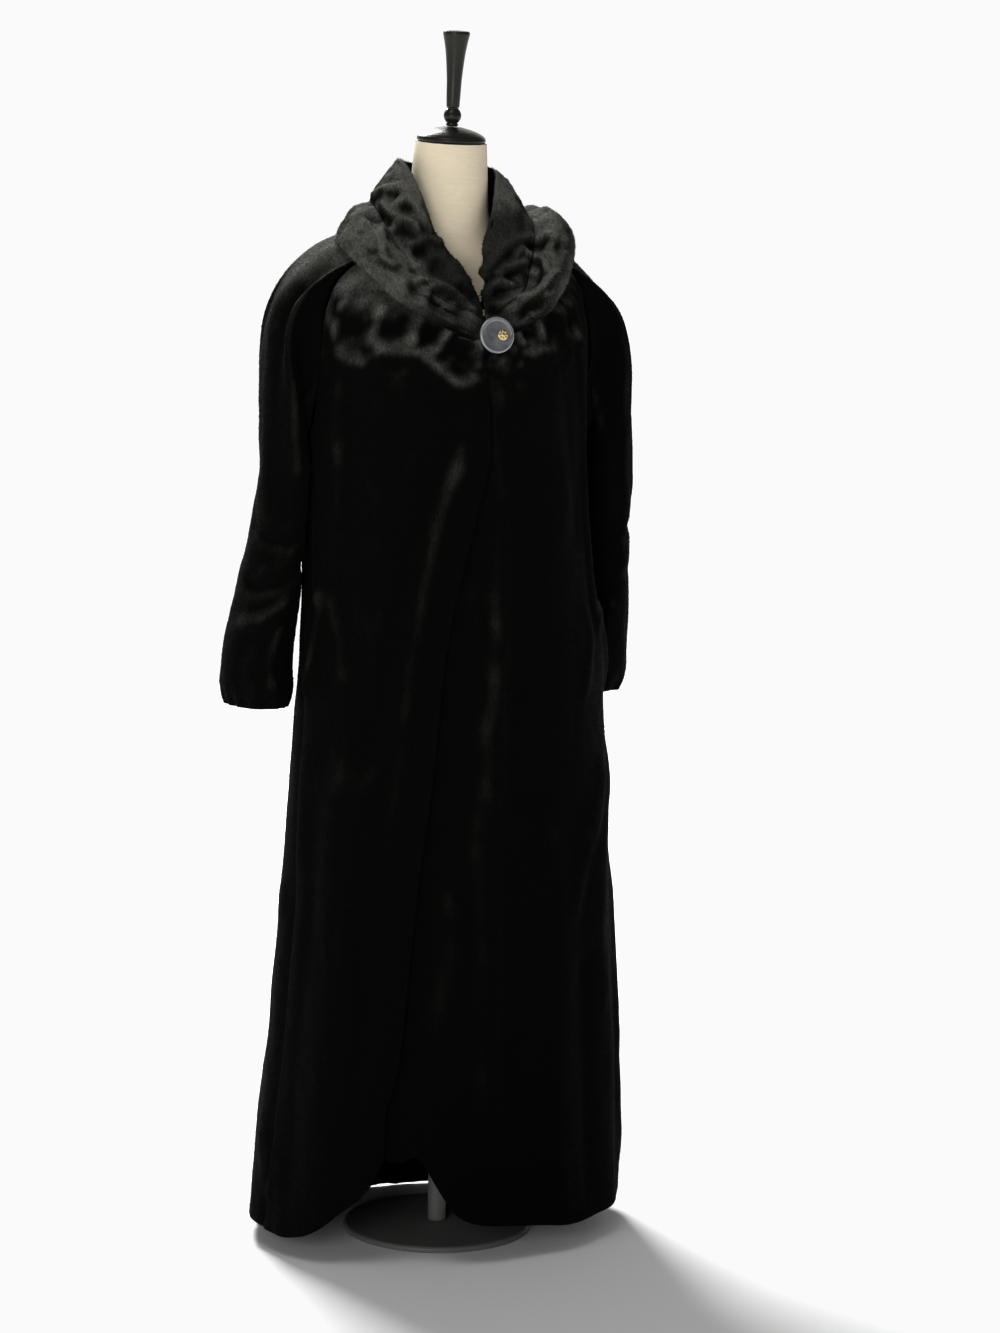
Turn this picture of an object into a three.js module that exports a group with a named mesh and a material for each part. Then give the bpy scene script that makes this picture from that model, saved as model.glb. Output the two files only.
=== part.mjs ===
// A long hooded faux fur coat, buttoned at the neck, standing on a dress form.
// Millimetres, +Z up. Origin: centre of the underside of the stand's base.
// The coat's front faces -Y; the wearer's right side is -X.
import * as THREE from 'three';
import { mergeVertices } from 'three/addons/utils/BufferGeometryUtils.js';

// ---------------------------------------------------------------- sizes
const WALL = 5;                 // plush backing and pile pressed together
const SEAM_GAP = 0.8;           // space left between two pieces along a seam
const ARMHOLE_GAP = 3;          // the same, twice over, along the armholes
const SIDE_SEAM_ANGLE = 84;     // side seams, degrees round from the front
const ARMPIT_LEVEL = 1092;
const NECK_LEVEL = 1385;        // level of the neckline ring
const OVERLAP_DROP = 9;         // how far the under front lies inside the upper one
const SLEEVE_CLEARANCE = 9;     // sleeve to body
const POCKET = { low: 755, high: 892, gape: 9, depth: 150 };
const BUTTON = { x: 11.3, y: -147, z: 1241, diameter: 48, thickness: 5.5, shank: 6, shankLength: 8, tilt: 8 };
const LOOP_CORD = 2.6;          // diameter of the closing loop
const CAP = { diameter: 93, z: 1488, height: 25, tilt: 6 };
const FINIAL = { ball: 24, bottom: 18, top: 37, z: 1513, height: 125 };
const POLE = { diameter: 25, top: 779 };
const BASE = { diameter: 260, thickness: 8 };

// Coat body, a row for each level. zFront, zSide and zBack are that ring's heights;
// halfWidth, front and back are its half axes about its centre.
const BODY = [
  { level: 20,   zFront: 20,   zSide: 20,   zBack: 20,   halfWidth: 267, front: 203, back: 200, centreX: 0, centreY: 6 },
  { level: 60,   zFront: 60,   zSide: 60,   zBack: 60,   halfWidth: 264, front: 199, back: 197, centreX: 0, centreY: 4 },
  { level: 150,  zFront: 150,  zSide: 150,  zBack: 150,  halfWidth: 258, front: 191, back: 190, centreX: 0, centreY: -2 },
  { level: 220,  zFront: 220,  zSide: 220,  zBack: 220,  halfWidth: 253, front: 186, back: 186, centreX: 0, centreY: -8 },
  { level: 290,  zFront: 290,  zSide: 290,  zBack: 290,  halfWidth: 248, front: 182, back: 182, centreX: 0, centreY: -14 },
  { level: 380,  zFront: 380,  zSide: 380,  zBack: 380,  halfWidth: 242, front: 177, back: 177, centreX: 0, centreY: -19 },
  { level: 460,  zFront: 460,  zSide: 460,  zBack: 460,  halfWidth: 236, front: 172, back: 172, centreX: 0, centreY: -21 },
  { level: 545,  zFront: 545,  zSide: 545,  zBack: 545,  halfWidth: 230, front: 168, back: 168, centreX: 0, centreY: -23 },
  { level: 630,  zFront: 630,  zSide: 630,  zBack: 630,  halfWidth: 226, front: 163, back: 163, centreX: 0, centreY: -25 },
  { level: 700,  zFront: 700,  zSide: 700,  zBack: 700,  halfWidth: 221, front: 159, back: 159, centreX: 0, centreY: -26 },
  { level: 800,  zFront: 800,  zSide: 800,  zBack: 800,  halfWidth: 213, front: 155, back: 154, centreX: 0, centreY: -25 },
  { level: 915,  zFront: 915,  zSide: 915,  zBack: 915,  halfWidth: 203, front: 151, back: 148, centreX: -3, centreY: -22 },
  { level: 1010, zFront: 1010, zSide: 1010, zBack: 1010, halfWidth: 198, front: 148, back: 143, centreX: -6, centreY: -18 },
  { level: 1092, zFront: 1084, zSide: 1092, zBack: 1094, halfWidth: 196, front: 147, back: 140, centreX: -7, centreY: -12 },
  { level: 1170, zFront: 1143, zSide: 1170, zBack: 1180, halfWidth: 199, front: 151, back: 140, centreX: -5, centreY: -6 },
  { level: 1240, zFront: 1190, zSide: 1240, zBack: 1262, halfWidth: 201, front: 149, back: 138, centreX: -3, centreY: -2 },
  { level: 1300, zFront: 1222, zSide: 1300, zBack: 1330, halfWidth: 191, front: 142, back: 128, centreX: -1, centreY: 0 },
  { level: 1340, zFront: 1243, zSide: 1341, zBack: 1372, halfWidth: 165, front: 134, back: 112, centreX: 0, centreY: 2 },
  { level: 1365, zFront: 1258, zSide: 1363, zBack: 1392, halfWidth: 134, front: 119, back: 94,  centreX: 0, centreY: 4 },
  { level: 1385, zFront: 1270, zSide: 1378, zBack: 1403, halfWidth: 104, front: 103, back: 80,  centreX: 0, centreY: 6 },
];

// Hem height at each angle round the coat (0 = centre front, + towards +X).
const HEM_UPPER_FRONT = [
  { angle: -100, z: 32 }, { angle: -84, z: 28 }, { angle: -72, z: 27 }, { angle: -62, z: 34 },
  { angle: -54, z: 50 }, { angle: -47, z: 74 }, { angle: -40, z: 98 }, { angle: -35.5, z: 126 }, { angle: -32, z: 170 }, { angle: -30, z: 210 },
];
const HEM_UNDER_FRONT = [
  { angle: -38, z: 190 }, { angle: -34, z: 150 }, { angle: -28, z: 143 }, { angle: -22.5, z: 152 }, { angle: -20.6, z: 146 },
  { angle: -18, z: 125 }, { angle: -14.3, z: 96 }, { angle: -9.7, z: 69 }, { angle: -5, z: 58 },
  { angle: 17, z: 44 }, { angle: 31, z: 36 }, { angle: 46, z: 38 }, { angle: 62, z: 46 }, { angle: 76, z: 54 }, { angle: 92, z: 50 }, { angle: 100, z: 48 },
];
const HEM_BACK = [
  { angle: 80, z: 53 }, { angle: 100, z: 48 }, { angle: 118, z: 32 }, { angle: 136, z: 15 }, { angle: 156, z: 8 }, { angle: 180, z: 7 },
  { angle: 206, z: 7 }, { angle: 228, z: 12 }, { angle: 246, z: 22 }, { angle: 262, z: 31 }, { angle: 280, z: 29 },
];

// Front edges, x at each height.
const UPPER_EDGE = [
  { level: 40, x: -144 }, { level: 214, x: -140 }, { level: 250, x: -130 }, { level: 292, x: -124 }, { level: 415, x: -112 },
  { level: 543, x: -98 }, { level: 663, x: -82 }, { level: 798, x: -68 }, { level: 878, x: -54 },
  { level: 1000, x: -22 }, { level: 1110, x: -1 }, { level: 1240, x: -4 }, { level: 1385, x: -6 },
];
const UNDER_EDGE = [
  { level: 40, x: -156 }, { level: 250, x: -156 }, { level: 543, x: -134 }, { level: 878, x: -92 },
  { level: 1110, x: -40 }, { level: 1240, x: -34 }, { level: 1385, x: -22 },
];

// Largest soft folds of the body, each along a path of three points.
// width in degrees round the coat, height in mm (+ stands out, - sinks in).
const FOLDS = [
  { name: 'under_front_fold', z0: 1150, a0: 5,   z1: 700, a1: 0,   z2: 190, a2: -2,  width: 4.5, height: 7 },
  { name: 'under_front_dip',  z0: 1050, a0: 17,  z1: 640, a1: 14,  z2: 60,  a2: 12,  width: 9,   height: -5 },
  { name: 'upper_front_fold', z0: 1100, a0: -9,  z1: 940, a1: -24, z2: 740, a2: -36, width: 5,   height: 5 },
  { name: 'upper_skirt_fold', z0: 700,  a0: -50, z1: 400, a1: -52, z2: 60,  a2: -55, width: 9,   height: 6 },
  { name: 'hip_fold_left',    z0: 700,  a0: 78,  z1: 560, a1: 54,  z2: 440, a2: 42,  width: 7,   height: 6 },
  { name: 'left_skirt_fold',  z0: 620,  a0: 47,  z1: 350, a1: 50,  z2: 50,  a2: 53,  width: 9,   height: 7 },
  { name: 'right_side_fold',  z0: 560,  a0: -84, z1: 300, a1: -83, z2: 60,  a2: -82, width: 8,   height: -6 },
  { name: 'back_fold_centre', z0: 1000, a0: 176, z1: 520, a1: 180, z2: 60,  a2: 183, width: 8,   height: 7 },
  { name: 'back_fold_right',  z0: 900,  a0: 220, z1: 480, a1: 224, z2: 60,  a2: 227, width: 9,   height: 8 },
  { name: 'back_fold_left',   z0: 940,  a0: 138, z1: 500, a1: 134, z2: 60,  a2: 131, width: 9,   height: 8 },
  { name: 'back_dip_right',   z0: 860,  a0: 202, z1: 460, a1: 203, z2: 60,  a2: 205, width: 8,   height: -6 },
  { name: 'back_dip_left',    z0: 880,  a0: 157, z1: 460, a1: 157, z2: 60,  a2: 156, width: 8,   height: -6 },
];

// Armhole line on the body, a row for each share of the way up from the armpit.
const ARMHOLE = [
  { up: 0,    frontAngle: 90, backAngle: 90 },
  { up: 0.12, frontAngle: 81, backAngle: 103 },
  { up: 0.4,  frontAngle: 75, backAngle: 117 },
  { up: 0.75, frontAngle: 72, backAngle: 122 },
  { up: 1,    frontAngle: 64, backAngle: 124 },
];

// Sleeves below the armhole: centre and half axes at each height.
const SLEEVE_RIGHT = [
  { z: 1056, x: -210, y: 26, halfX: 43, halfY: 68 },
  { z: 960,  x: -225, y: 26, halfX: 44, halfY: 68 },
  { z: 895,  x: -239, y: 26, halfX: 45, halfY: 68 },
  { z: 800,  x: -257, y: 26, halfX: 47, halfY: 67 },
  { z: 742,  x: -258, y: 26, halfX: 43, halfY: 64 },
];
const SLEEVE_LEFT = [
  { z: 1056, x: 233, y: 26, halfX: 44, halfY: 68 },
  { z: 960,  x: 238, y: 34, halfX: 44, halfY: 68 },
  { z: 895,  x: 241, y: 40, halfX: 45, halfY: 68 },
  { z: 800,  x: 244, y: 48, halfX: 46, halfY: 67 },
  { z: 742,  x: 239, y: 50, halfX: 43, halfY: 64 },
];

// Hood, folded down into a rolled collar. A row for each station from the button
// round to the centre back; columns are points across it: the ridge that stands
// at the neck, the smooth strip, the gathered groove, the top of the roll, its
// outer edge, its belly and the tucked-under bottom edge. angle is where the
// hood's seam meets the neckline.
const HOOD_RIGHT = [
  { angle: -2,   ridge: [-3, -118, 1286],  strip: [-14, -127, 1277], groove: [-26, -136, 1264], roll: [-36, -146, 1254],  edge: [-43, -152, 1239],  belly: [-42, -150, 1230],  bottom: [-37, -146, 1225] },
  { angle: -16,  ridge: [-18, -99, 1327],  strip: [-44, -114, 1317], groove: [-76, -124, 1302], roll: [-96, -137, 1301],  edge: [-115, -134, 1294], belly: [-117, -130, 1285], bottom: [-113, -126, 1279] },
  { angle: -36,  ridge: [-44, -77, 1364],  strip: [-70, -91, 1357],  groove: [-97, -98, 1343],  roll: [-122, -106, 1344], edge: [-145, -96, 1330],  belly: [-148, -92, 1321],  bottom: [-144, -88, 1315] },
  { angle: -62,  ridge: [-61, -48, 1428],  strip: [-86, -55, 1413],  groove: [-112, -56, 1386], roll: [-137, -56, 1381],  edge: [-163, -47, 1362],  belly: [-168, -43, 1354],  bottom: [-166, -41, 1348] },
  { angle: -94,  ridge: [-67, -8, 1462],   strip: [-89, -6, 1444],   groove: [-110, 2, 1412],   roll: [-135, 8, 1403],    edge: [-160, 12, 1382],   belly: [-168, 15, 1371],   bottom: [-167, 17, 1364] },
  { angle: -112, ridge: [-64, 18, 1466],   strip: [-82, 28, 1445],   groove: [-100, 44, 1404],  roll: [-121, 56, 1396],   edge: [-145, 62, 1370],   belly: [-155, 72, 1364],   bottom: [-154, 79, 1357] },
  { angle: -130, ridge: [-53, 46, 1467],   strip: [-69, 64, 1442],   groove: [-85, 90, 1390],   roll: [-106, 106, 1384],  edge: [-128, 120, 1340],  belly: [-136, 126, 1296],  bottom: [-132, 120, 1254] },
  { angle: -155, ridge: [-30, 72, 1466],   strip: [-40, 100, 1436],  groove: [-48, 136, 1366],  roll: [-76, 172, 1376],   edge: [-94, 196, 1326],   belly: [-104, 194, 1246],  bottom: [-96, 152, 1176] },
  { angle: -180, ridge: [0, 84, 1464],     strip: [0, 112, 1434],    groove: [0, 152, 1358],    roll: [0, 194, 1372],     edge: [0, 218, 1318],     belly: [0, 214, 1228],     bottom: [0, 160, 1152] },
];
const HOOD_LEFT = [
  { angle: 4,    ridge: [5, -118, 1287],   strip: [22, -126, 1281],  groove: [41, -132, 1270],  roll: [55, -140, 1265],   edge: [70, -144, 1250],   belly: [71, -142, 1241],   bottom: [66, -138, 1236] },
  { angle: 16,   ridge: [10, -104, 1318],  strip: [34, -113, 1313],  groove: [62, -121, 1303],  roll: [82, -132, 1304],   edge: [100, -133, 1291],  belly: [103, -129, 1282],  bottom: [100, -125, 1276] },
  { angle: 36,   ridge: [17, -81, 1356],   strip: [48, -90, 1354],   groove: [82, -97, 1341],   roll: [107, -109, 1350],  edge: [133, -104, 1334],  belly: [137, -98, 1322],   bottom: [135, -94, 1315] },
  { angle: 62,   ridge: [43, -52, 1412],   strip: [74, -54, 1410],   groove: [102, -56, 1384],  roll: [130, -64, 1396],   edge: [157, -58, 1376],   belly: [162, -53, 1360],   bottom: [159, -50, 1349] },
  { angle: 94,   ridge: [62, -12, 1450],   strip: [86, -8, 1440],    groove: [108, 0, 1408],    roll: [135, -2, 1408],    edge: [160, 4, 1387],     belly: [168, 9, 1373],     bottom: [167, 12, 1364] },
  { angle: 112,  ridge: [61, 18, 1460],    strip: [81, 28, 1443],    groove: [100, 44, 1402],   roll: [122, 54, 1398],    edge: [146, 62, 1372],    belly: [156, 72, 1364],    bottom: [154, 79, 1357] },
  { angle: 130,  ridge: [53, 46, 1464],    strip: [69, 64, 1441],    groove: [85, 90, 1389],    roll: [107, 105, 1386],   edge: [129, 120, 1341],   belly: [137, 126, 1296],   bottom: [133, 120, 1254] },
  { angle: 155,  ridge: [30, 72, 1465],    strip: [40, 100, 1436],   groove: [48, 136, 1365],   roll: [76, 172, 1375],    edge: [94, 196, 1325],    belly: [104, 194, 1246],   bottom: [96, 152, 1176] },
  { angle: 180,  ridge: [0, 84, 1464],     strip: [0, 112, 1434],    groove: [0, 152, 1358],    roll: [0, 194, 1372],     edge: [0, 218, 1318],     belly: [0, 214, 1228],     bottom: [0, 160, 1152] },
];
const HOOD_COLUMNS = ['seam', 'ridge', 'strip', 'groove', 'roll', 'edge', 'belly', 'bottom'];
const HOOD_GROOVE = 3 / 7;      // share across the hood where the border is sewn on

// Dress form: smooth rings, half axes about centreY.
const FORM = [
  { z: 780,  halfX: 150, halfY: 106, centreY: -4 },
  { z: 790,  halfX: 159, halfY: 114, centreY: -4 },
  { z: 840,  halfX: 164, halfY: 119, centreY: -4 },
  { z: 910,  halfX: 155, halfY: 113, centreY: -3 },
  { z: 980,  halfX: 131, halfY: 98,  centreY: -2 },
  { z: 1040, halfX: 122, halfY: 94,  centreY: -2 },
  { z: 1110, halfX: 134, halfY: 104, centreY: -4 },
  { z: 1180, halfX: 147, halfY: 112, centreY: -6 },
  { z: 1232, halfX: 152, halfY: 105, centreY: -2 },
  { z: 1262, halfX: 151, halfY: 90,  centreY: 4 },
  { z: 1290, halfX: 146, halfY: 79,  centreY: 7 },
  { z: 1322, halfX: 128, halfY: 71,  centreY: 8 },
  { z: 1348, halfX: 92,  halfY: 64,  centreY: 8 },
  { z: 1368, halfX: 66,  halfY: 57,  centreY: 6 },
  { z: 1395, halfX: 56,  halfY: 54,  centreY: 3 },
  { z: 1430, halfX: 52.5, halfY: 52, centreY: -1 },
  { z: 1492.6, halfX: 48, halfY: 48.5, centreY: -7 },
];

// ---------------------------------------------------------------- helpers
const rad = (d) => (d * Math.PI) / 180;
const mix = (a, b, t) => a + (b - a) * t;
const smooth = (a, b, x) => { const t = Math.min(1, Math.max(0, (x - a) / (b - a))); return t * t * (3 - 2 * t); };
const bump = (d, w) => Math.exp(-(d * d) / (w * w));

// Smooth curve through one column of a table.
function along(table, key, x, column) {
  const n = table.length;
  if (x <= table[0][key]) return table[0][column];
  if (x >= table[n - 1][key]) return table[n - 1][column];
  let i = 0;
  while (x > table[i + 1][key]) i++;
  const x0 = table[i][key], x1 = table[i + 1][key], h = x1 - x0, t = (x - x0) / h;
  const slope = (k) => {
    if (k <= 0 || k >= n - 1) return 0;
    const dl = (table[k][column] - table[k - 1][column]) / (table[k][key] - table[k - 1][key]);
    const dr = (table[k + 1][column] - table[k][column]) / (table[k + 1][key] - table[k][key]);
    return dl * dr <= 0 ? 0 : (2 * dl * dr) / (dl + dr);
  };
  const m0 = i === 0 ? (table[1][column] - table[0][column]) / h : slope(i);
  const m1 = i === n - 2 ? (table[n - 1][column] - table[n - 2][column]) / h : slope(i + 1);
  const t2 = t * t, t3 = t2 * t;
  return (2 * t3 - 3 * t2 + 1) * table[i][column] + (t3 - 2 * t2 + t) * h * m0 + (-2 * t3 + 3 * t2) * table[i + 1][column] + (t3 - t2) * h * m1;
}

// Normal of a surface function by small differences; flip turns it over.
function surfaceNormal(fn, u, v, flip) {
  const e = 1e-3;
  const du = fn(u + e, v).sub(fn(u - e, v));
  const dv = fn(u, v + e).sub(fn(u, v - e));
  const n = du.cross(dv).normalize();
  return flip ? n.negate() : n;
}

// A sheet of cloth: the surface function's grid, and the same grid one wall
// thickness behind it, closed along the rims. loop joins the last column to the first.
function sheet(fn, us, vs, thickness, { loop = false, flip = false, mitre = 0 } = {}) {
  const nu = us.length, nv = vs.length, pos = [], idx = [];
  for (const side of [0, 1]) for (const u of us) for (const v of vs) {
    const w = side && v === vs[0] ? v + mitre : v;            // a mitred rim clears its neighbour at a sharp seam
    const p = fn(u, w);
    if (side) p.addScaledVector(surfaceNormal(fn, u, w, flip), -thickness);
    pos.push(p.x, p.y, p.z);
  }
  const id = (s, i, j) => s * nu * nv + (i % nu) * nv + j;
  const quad = (a, b, c, d) => idx.push(a, b, c, a, c, d);
  const iu = loop ? nu : nu - 1;
  for (let i = 0; i < iu; i++) for (let j = 0; j < nv - 1; j++) {
    quad(id(0, i, j), id(0, i + 1, j), id(0, i + 1, j + 1), id(0, i, j + 1));
    quad(id(1, i, j), id(1, i, j + 1), id(1, i + 1, j + 1), id(1, i + 1, j));
  }
  for (let i = 0; i < iu; i++) {
    quad(id(0, i, 0), id(1, i, 0), id(1, i + 1, 0), id(0, i + 1, 0));
    quad(id(0, i, nv - 1), id(0, i + 1, nv - 1), id(1, i + 1, nv - 1), id(1, i, nv - 1));
  }
  if (!loop) for (let j = 0; j < nv - 1; j++) {
    quad(id(0, 0, j), id(0, 0, j + 1), id(1, 0, j + 1), id(1, 0, j));
    quad(id(0, nu - 1, j), id(1, nu - 1, j), id(1, nu - 1, j + 1), id(0, nu - 1, j + 1));
  }
  return closedGeometry(pos, idx);
}

// Geometry from a closed triangle list, turned so that its faces point out.
function closedGeometry(pos, idx) {
  let volume = 0;
  for (let k = 0; k < idx.length; k += 3) {
    const [a, b, c] = [0, 1, 2].map((m) => new THREE.Vector3(...pos.slice(3 * idx[k + m], 3 * idx[k + m] + 3)));
    volume += a.dot(b.cross(c));
  }
  if (volume < 0) for (let k = 0; k < idx.length; k += 3) [idx[k + 1], idx[k + 2]] = [idx[k + 2], idx[k + 1]];
  const g = new THREE.BufferGeometry();
  g.setAttribute('position', new THREE.Float32BufferAttribute(pos, 3));
  g.setIndex(idx);
  return g;
}
const steps = (a, b, n) => Array.from({ length: n + 1 }, (_, i) => mix(a, b, i / n));

// ---------------------------------------------------------------- coat body
function foldHeight(angle, z) {
  let h = 0;
  for (const f of FOLDS) {
    let c;
    if (z > f.z1) c = mix(f.a1, f.a0, (z - f.z1) / (f.z0 - f.z1)); else c = mix(f.a2, f.a1, (z - f.z2) / (f.z1 - f.z2));
    let d = angle - c;
    while (d > 180) d -= 360;
    while (d < -180) d += 360;
    const fade = (1 - smooth(f.z0 - 90, f.z0, z)) * smooth(f.z2 - 60, f.z2, z);
    h += f.height * bump(d, f.width) * fade;
  }
  return h;
}
function bodyPoint(angle, level, out = 0) {
  const A = along(BODY, 'level', level, 'halfWidth'), cy = along(BODY, 'level', level, 'centreY');
  const c = Math.cos(rad(angle)), s = Math.sin(rad(angle));
  const B = along(BODY, 'level', level, c > 0 ? 'front' : 'back');
  const zs = along(BODY, 'level', level, 'zSide');
  const ze = along(BODY, 'level', level, c > 0 ? 'zFront' : 'zBack');
  const z = mix(zs, ze, c * c);
  const r = out + foldHeight(angle, z);
  // outward direction of the ellipse
  let nx = s / A, ny = -c / B;
  const l = Math.hypot(nx, ny); nx /= l; ny /= l;
  const tilt = smooth(1180, 1385, level);            // at the top the cloth leans in, so "out" turns up
  return new THREE.Vector3(along(BODY, 'level', level, 'centreX') + A * s + nx * r * (1 - 0.7 * tilt), cy - B * c + ny * r * (1 - 0.7 * tilt), z + r * tilt);
}
const angleAtX = (level, x) => (Math.asin(Math.max(-1, Math.min(1, (x - along(BODY, 'level', level, 'centreX')) / along(BODY, 'level', level, 'halfWidth')))) * 180) / Math.PI;
const upOf = (level) => Math.max(0, (level - ARMPIT_LEVEL) / (NECK_LEVEL - ARMPIT_LEVEL));
// outer limit of a front, and of the back, at a level (positive side)
const frontSide = (level) => (level <= ARMPIT_LEVEL ? mix(SIDE_SEAM_ANGLE, 90, smooth(1000, ARMPIT_LEVEL, level)) : along(ARMHOLE, 'up', upOf(level), 'frontAngle'));
const backSide = (level) => (level <= ARMPIT_LEVEL ? mix(SIDE_SEAM_ANGLE, 90, smooth(1000, ARMPIT_LEVEL, level)) : along(ARMHOLE, 'up', upOf(level), 'backAngle'));
const gapAngle = (level) => (mix(SEAM_GAP, ARMHOLE_GAP, smooth(ARMPIT_LEVEL, ARMPIT_LEVEL + 60, level)) / 2 / along(BODY, 'level', level, 'halfWidth')) * (180 / Math.PI);

// pocket mouth: the front's side edge stands out between two heights
const gape = (level) => POCKET.gape * smooth(POCKET.low - 10, POCKET.low + 45, level) * (1 - smooth(POCKET.high - 45, POCKET.high + 10, level));

// v runs from the hem (0) to the neckline (1); u from the front edge (0) to the side (1)
function frontRight(u, v) {
  const top = NECK_LEVEL - 2;
  const guess = mix(120, top, v);
  let edge = angleAtX(guess, along(UPPER_EDGE, 'level', guess, 'x'));
  const side = -(frontSide(guess) - gapAngle(guess));
  let angle = mix(edge, side, u);
  const level = mix(along(HEM_UPPER_FRONT, 'angle', angle, 'z'), top, v);
  edge = angleAtX(level, along(UPPER_EDGE, 'level', level, 'x'));
  angle = mix(edge, -(frontSide(level) - gapAngle(level)), u);
  return bodyPoint(angle, level, gape(level) * bump((1 - u) * 6, 1));
}
function frontLeft(u, v) {
  const top = NECK_LEVEL - 2;
  const guess = mix(60, top, v);
  let edge = angleAtX(guess, along(UNDER_EDGE, 'level', guess, 'x'));
  let angle = mix(edge, frontSide(guess) - gapAngle(guess), u);
  const level = mix(along(HEM_UNDER_FRONT, 'angle', angle, 'z'), top, v);
  edge = angleAtX(level, along(UNDER_EDGE, 'level', level, 'x'));
  angle = mix(edge, frontSide(level) - gapAngle(level), u);
  const cover = angleAtX(level, along(UPPER_EDGE, 'level', level, 'x'));
  const drop = OVERLAP_DROP * (1 - smooth(cover + 3, cover + 20, angle));
  return bodyPoint(angle, level, gape(level) * bump((1 - u) * 6, 1) - drop);
}
// u runs from the +X side seam (0) round the back to the -X one (1)
function backPanel(u, v) {
  const top = NECK_LEVEL - 2;
  const guess = mix(44, top, v);
  const a0 = backSide(guess) + gapAngle(guess);
  const level = mix(along(HEM_BACK, 'angle', mix(a0, 360 - a0, u), 'z'), top, v);
  const b0 = backSide(level) + gapAngle(level);
  return bodyPoint(mix(b0, 360 - b0, u), level);
}

// ---------------------------------------------------------------- sleeves
function pushClear(p) {
  const z = p.z, want = SLEEVE_CLEARANCE * (1 - smooth(ARMPIT_LEVEL - 52, ARMPIT_LEVEL - 2, z));
  if (z > ARMPIT_LEVEL + 110) return p;
  const A = along(BODY, 'level', z, 'halfWidth'), cx = along(BODY, 'level', z, 'centreX'), cy = along(BODY, 'level', z, 'centreY');
  const dx = p.x - cx, dy = p.y - cy, B = along(BODY, 'level', z, dy < 0 ? 'front' : 'back');
  const angle = (Math.atan2(dx / A, -dy / B) * 180) / Math.PI;
  const r = Math.hypot(dx, dy);
  const e = Math.hypot(dx / A, dy / B);
  const limit = (r / e) + want + Math.max(0, foldHeight(angle, z)) + 1.2;
  if (r < limit) { p.x = cx + (dx * limit) / r; p.y = cy + (dy * limit) / r; }
  return p;
}
function armholePoint(sign, f) {
  // f: 0 armpit, 0..0.42 up the front line, 0.42..0.58 round the neck, 0.58..1 down the back line
  f = ((f % 1) + 1) % 1;
  let angle, level;
  if (f < 0.42) { const q = f / 0.42; level = mix(ARMPIT_LEVEL, NECK_LEVEL, q); angle = along(ARMHOLE, 'up', q, 'frontAngle'); }
  else if (f <= 0.58) { const q = (f - 0.42) / 0.16; level = NECK_LEVEL; angle = mix(along(ARMHOLE, 'up', 1, 'frontAngle'), along(ARMHOLE, 'up', 1, 'backAngle'), q); }
  else { const q = (1 - f) / 0.42; level = mix(ARMPIT_LEVEL, NECK_LEVEL, q); angle = along(ARMHOLE, 'up', q, 'backAngle'); }
  return { angle: sign * angle, level };
}
function sleeveSurface(table, sign, rise) {
  const sectionPoint = (z, f) => {
    const g = (k) => along(table.slice().reverse(), 'z', z, k);
    const t = 2 * Math.PI * f;
    return new THREE.Vector3(g('x') - sign * g('halfX') * Math.cos(t), g('y') - g('halfY') * Math.sin(t), z);
  };
  const zTop = table[0].z, zCuff = table[table.length - 1].z;
  const SPLIT = 0.5;
  return (f, v) => {
    // v: 0 at the armhole, 1 at the cuff
    if (v > SPLIT) return pushClear(sectionPoint(mix(zTop, zCuff, (v - SPLIT) / (1 - SPLIT)), f));
    const { angle, level } = armholePoint(sign, f);
    const p0 = bodyPoint(angle, level);
    const n = bodyPoint(angle, level, 1).sub(p0).normalize();
    const d = new THREE.Vector3(sign, 0, -0.35);
    d.addScaledVector(n, -d.dot(n)).normalize();
    const up = upOf(level), away = 1 - smooth(0.03, 0.4, up);       // near the armpit it leaves squarely
    d.multiplyScalar(1 - away).addScaledVector(n, away).normalize();
    const p3 = pushClear(sectionPoint(zTop, f));
    const reach = p0.distanceTo(p3);
    const start = p0.clone().addScaledVector(d, 1.2);
    const p1 = start.clone().addScaledVector(d, (0.42 - 0.14 * away) * reach);
    const p2 = p3.clone().add(new THREE.Vector3(0, 0, rise * reach));
    const t = v / SPLIT, s = 1 - t;
    const p = new THREE.Vector3()
      .addScaledVector(start, s * s * s).addScaledVector(p1, 3 * s * s * t)
      .addScaledVector(p2, 3 * s * t * t).addScaledVector(p3, t * t * t);
    return pushClear(p);
  };
}

// ---------------------------------------------------------------- hood
function catmull(points, t) {
  const n = points.length - 1, x = Math.min(n - 1e-9, Math.max(0, t * n)), i = Math.floor(x), f = x - i;
  const p1 = points[i], p2 = points[i + 1];
  const p0 = i > 0 ? points[i - 1] : p1.clone().multiplyScalar(2).sub(p2);
  const p3 = i < n - 1 ? points[i + 2] : p2.clone().multiplyScalar(2).sub(p1);
  const f2 = f * f, f3 = f2 * f;
  return new THREE.Vector3()
    .addScaledVector(p0, -0.5 * f3 + f2 - 0.5 * f).addScaledVector(p1, 1.5 * f3 - 2.5 * f2 + 1)
    .addScaledVector(p2, -1.5 * f3 + 2 * f2 + 0.5 * f).addScaledVector(p3, 0.5 * f3 - 0.5 * f2);
}
function hoodSurface(table) {
  const rows = table.map((row) => HOOD_COLUMNS.map((c) => {
    if (c !== 'seam') return new THREE.Vector3(...row[c]);
    const p = bodyPoint(row.angle, NECK_LEVEL, -WALL);
    p.z += WALL + 3;
    return p;
  }));
  const last = rows.length - 1;
  rows.push(rows[last - 1].map((p) => new THREE.Vector3(-p.x, p.y, p.z)));   // the other half carries on past the centre back
  return (u, v) => {
    // u from the button (0) to the centre back (1), v across from the seam (0) to the bottom edge (1)
    const line = HOOD_COLUMNS.map((_, k) => catmull(rows.map((r) => r[k]), (u * last) / (last + 1)));
    return catmull(line, v);
  };
}

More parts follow.
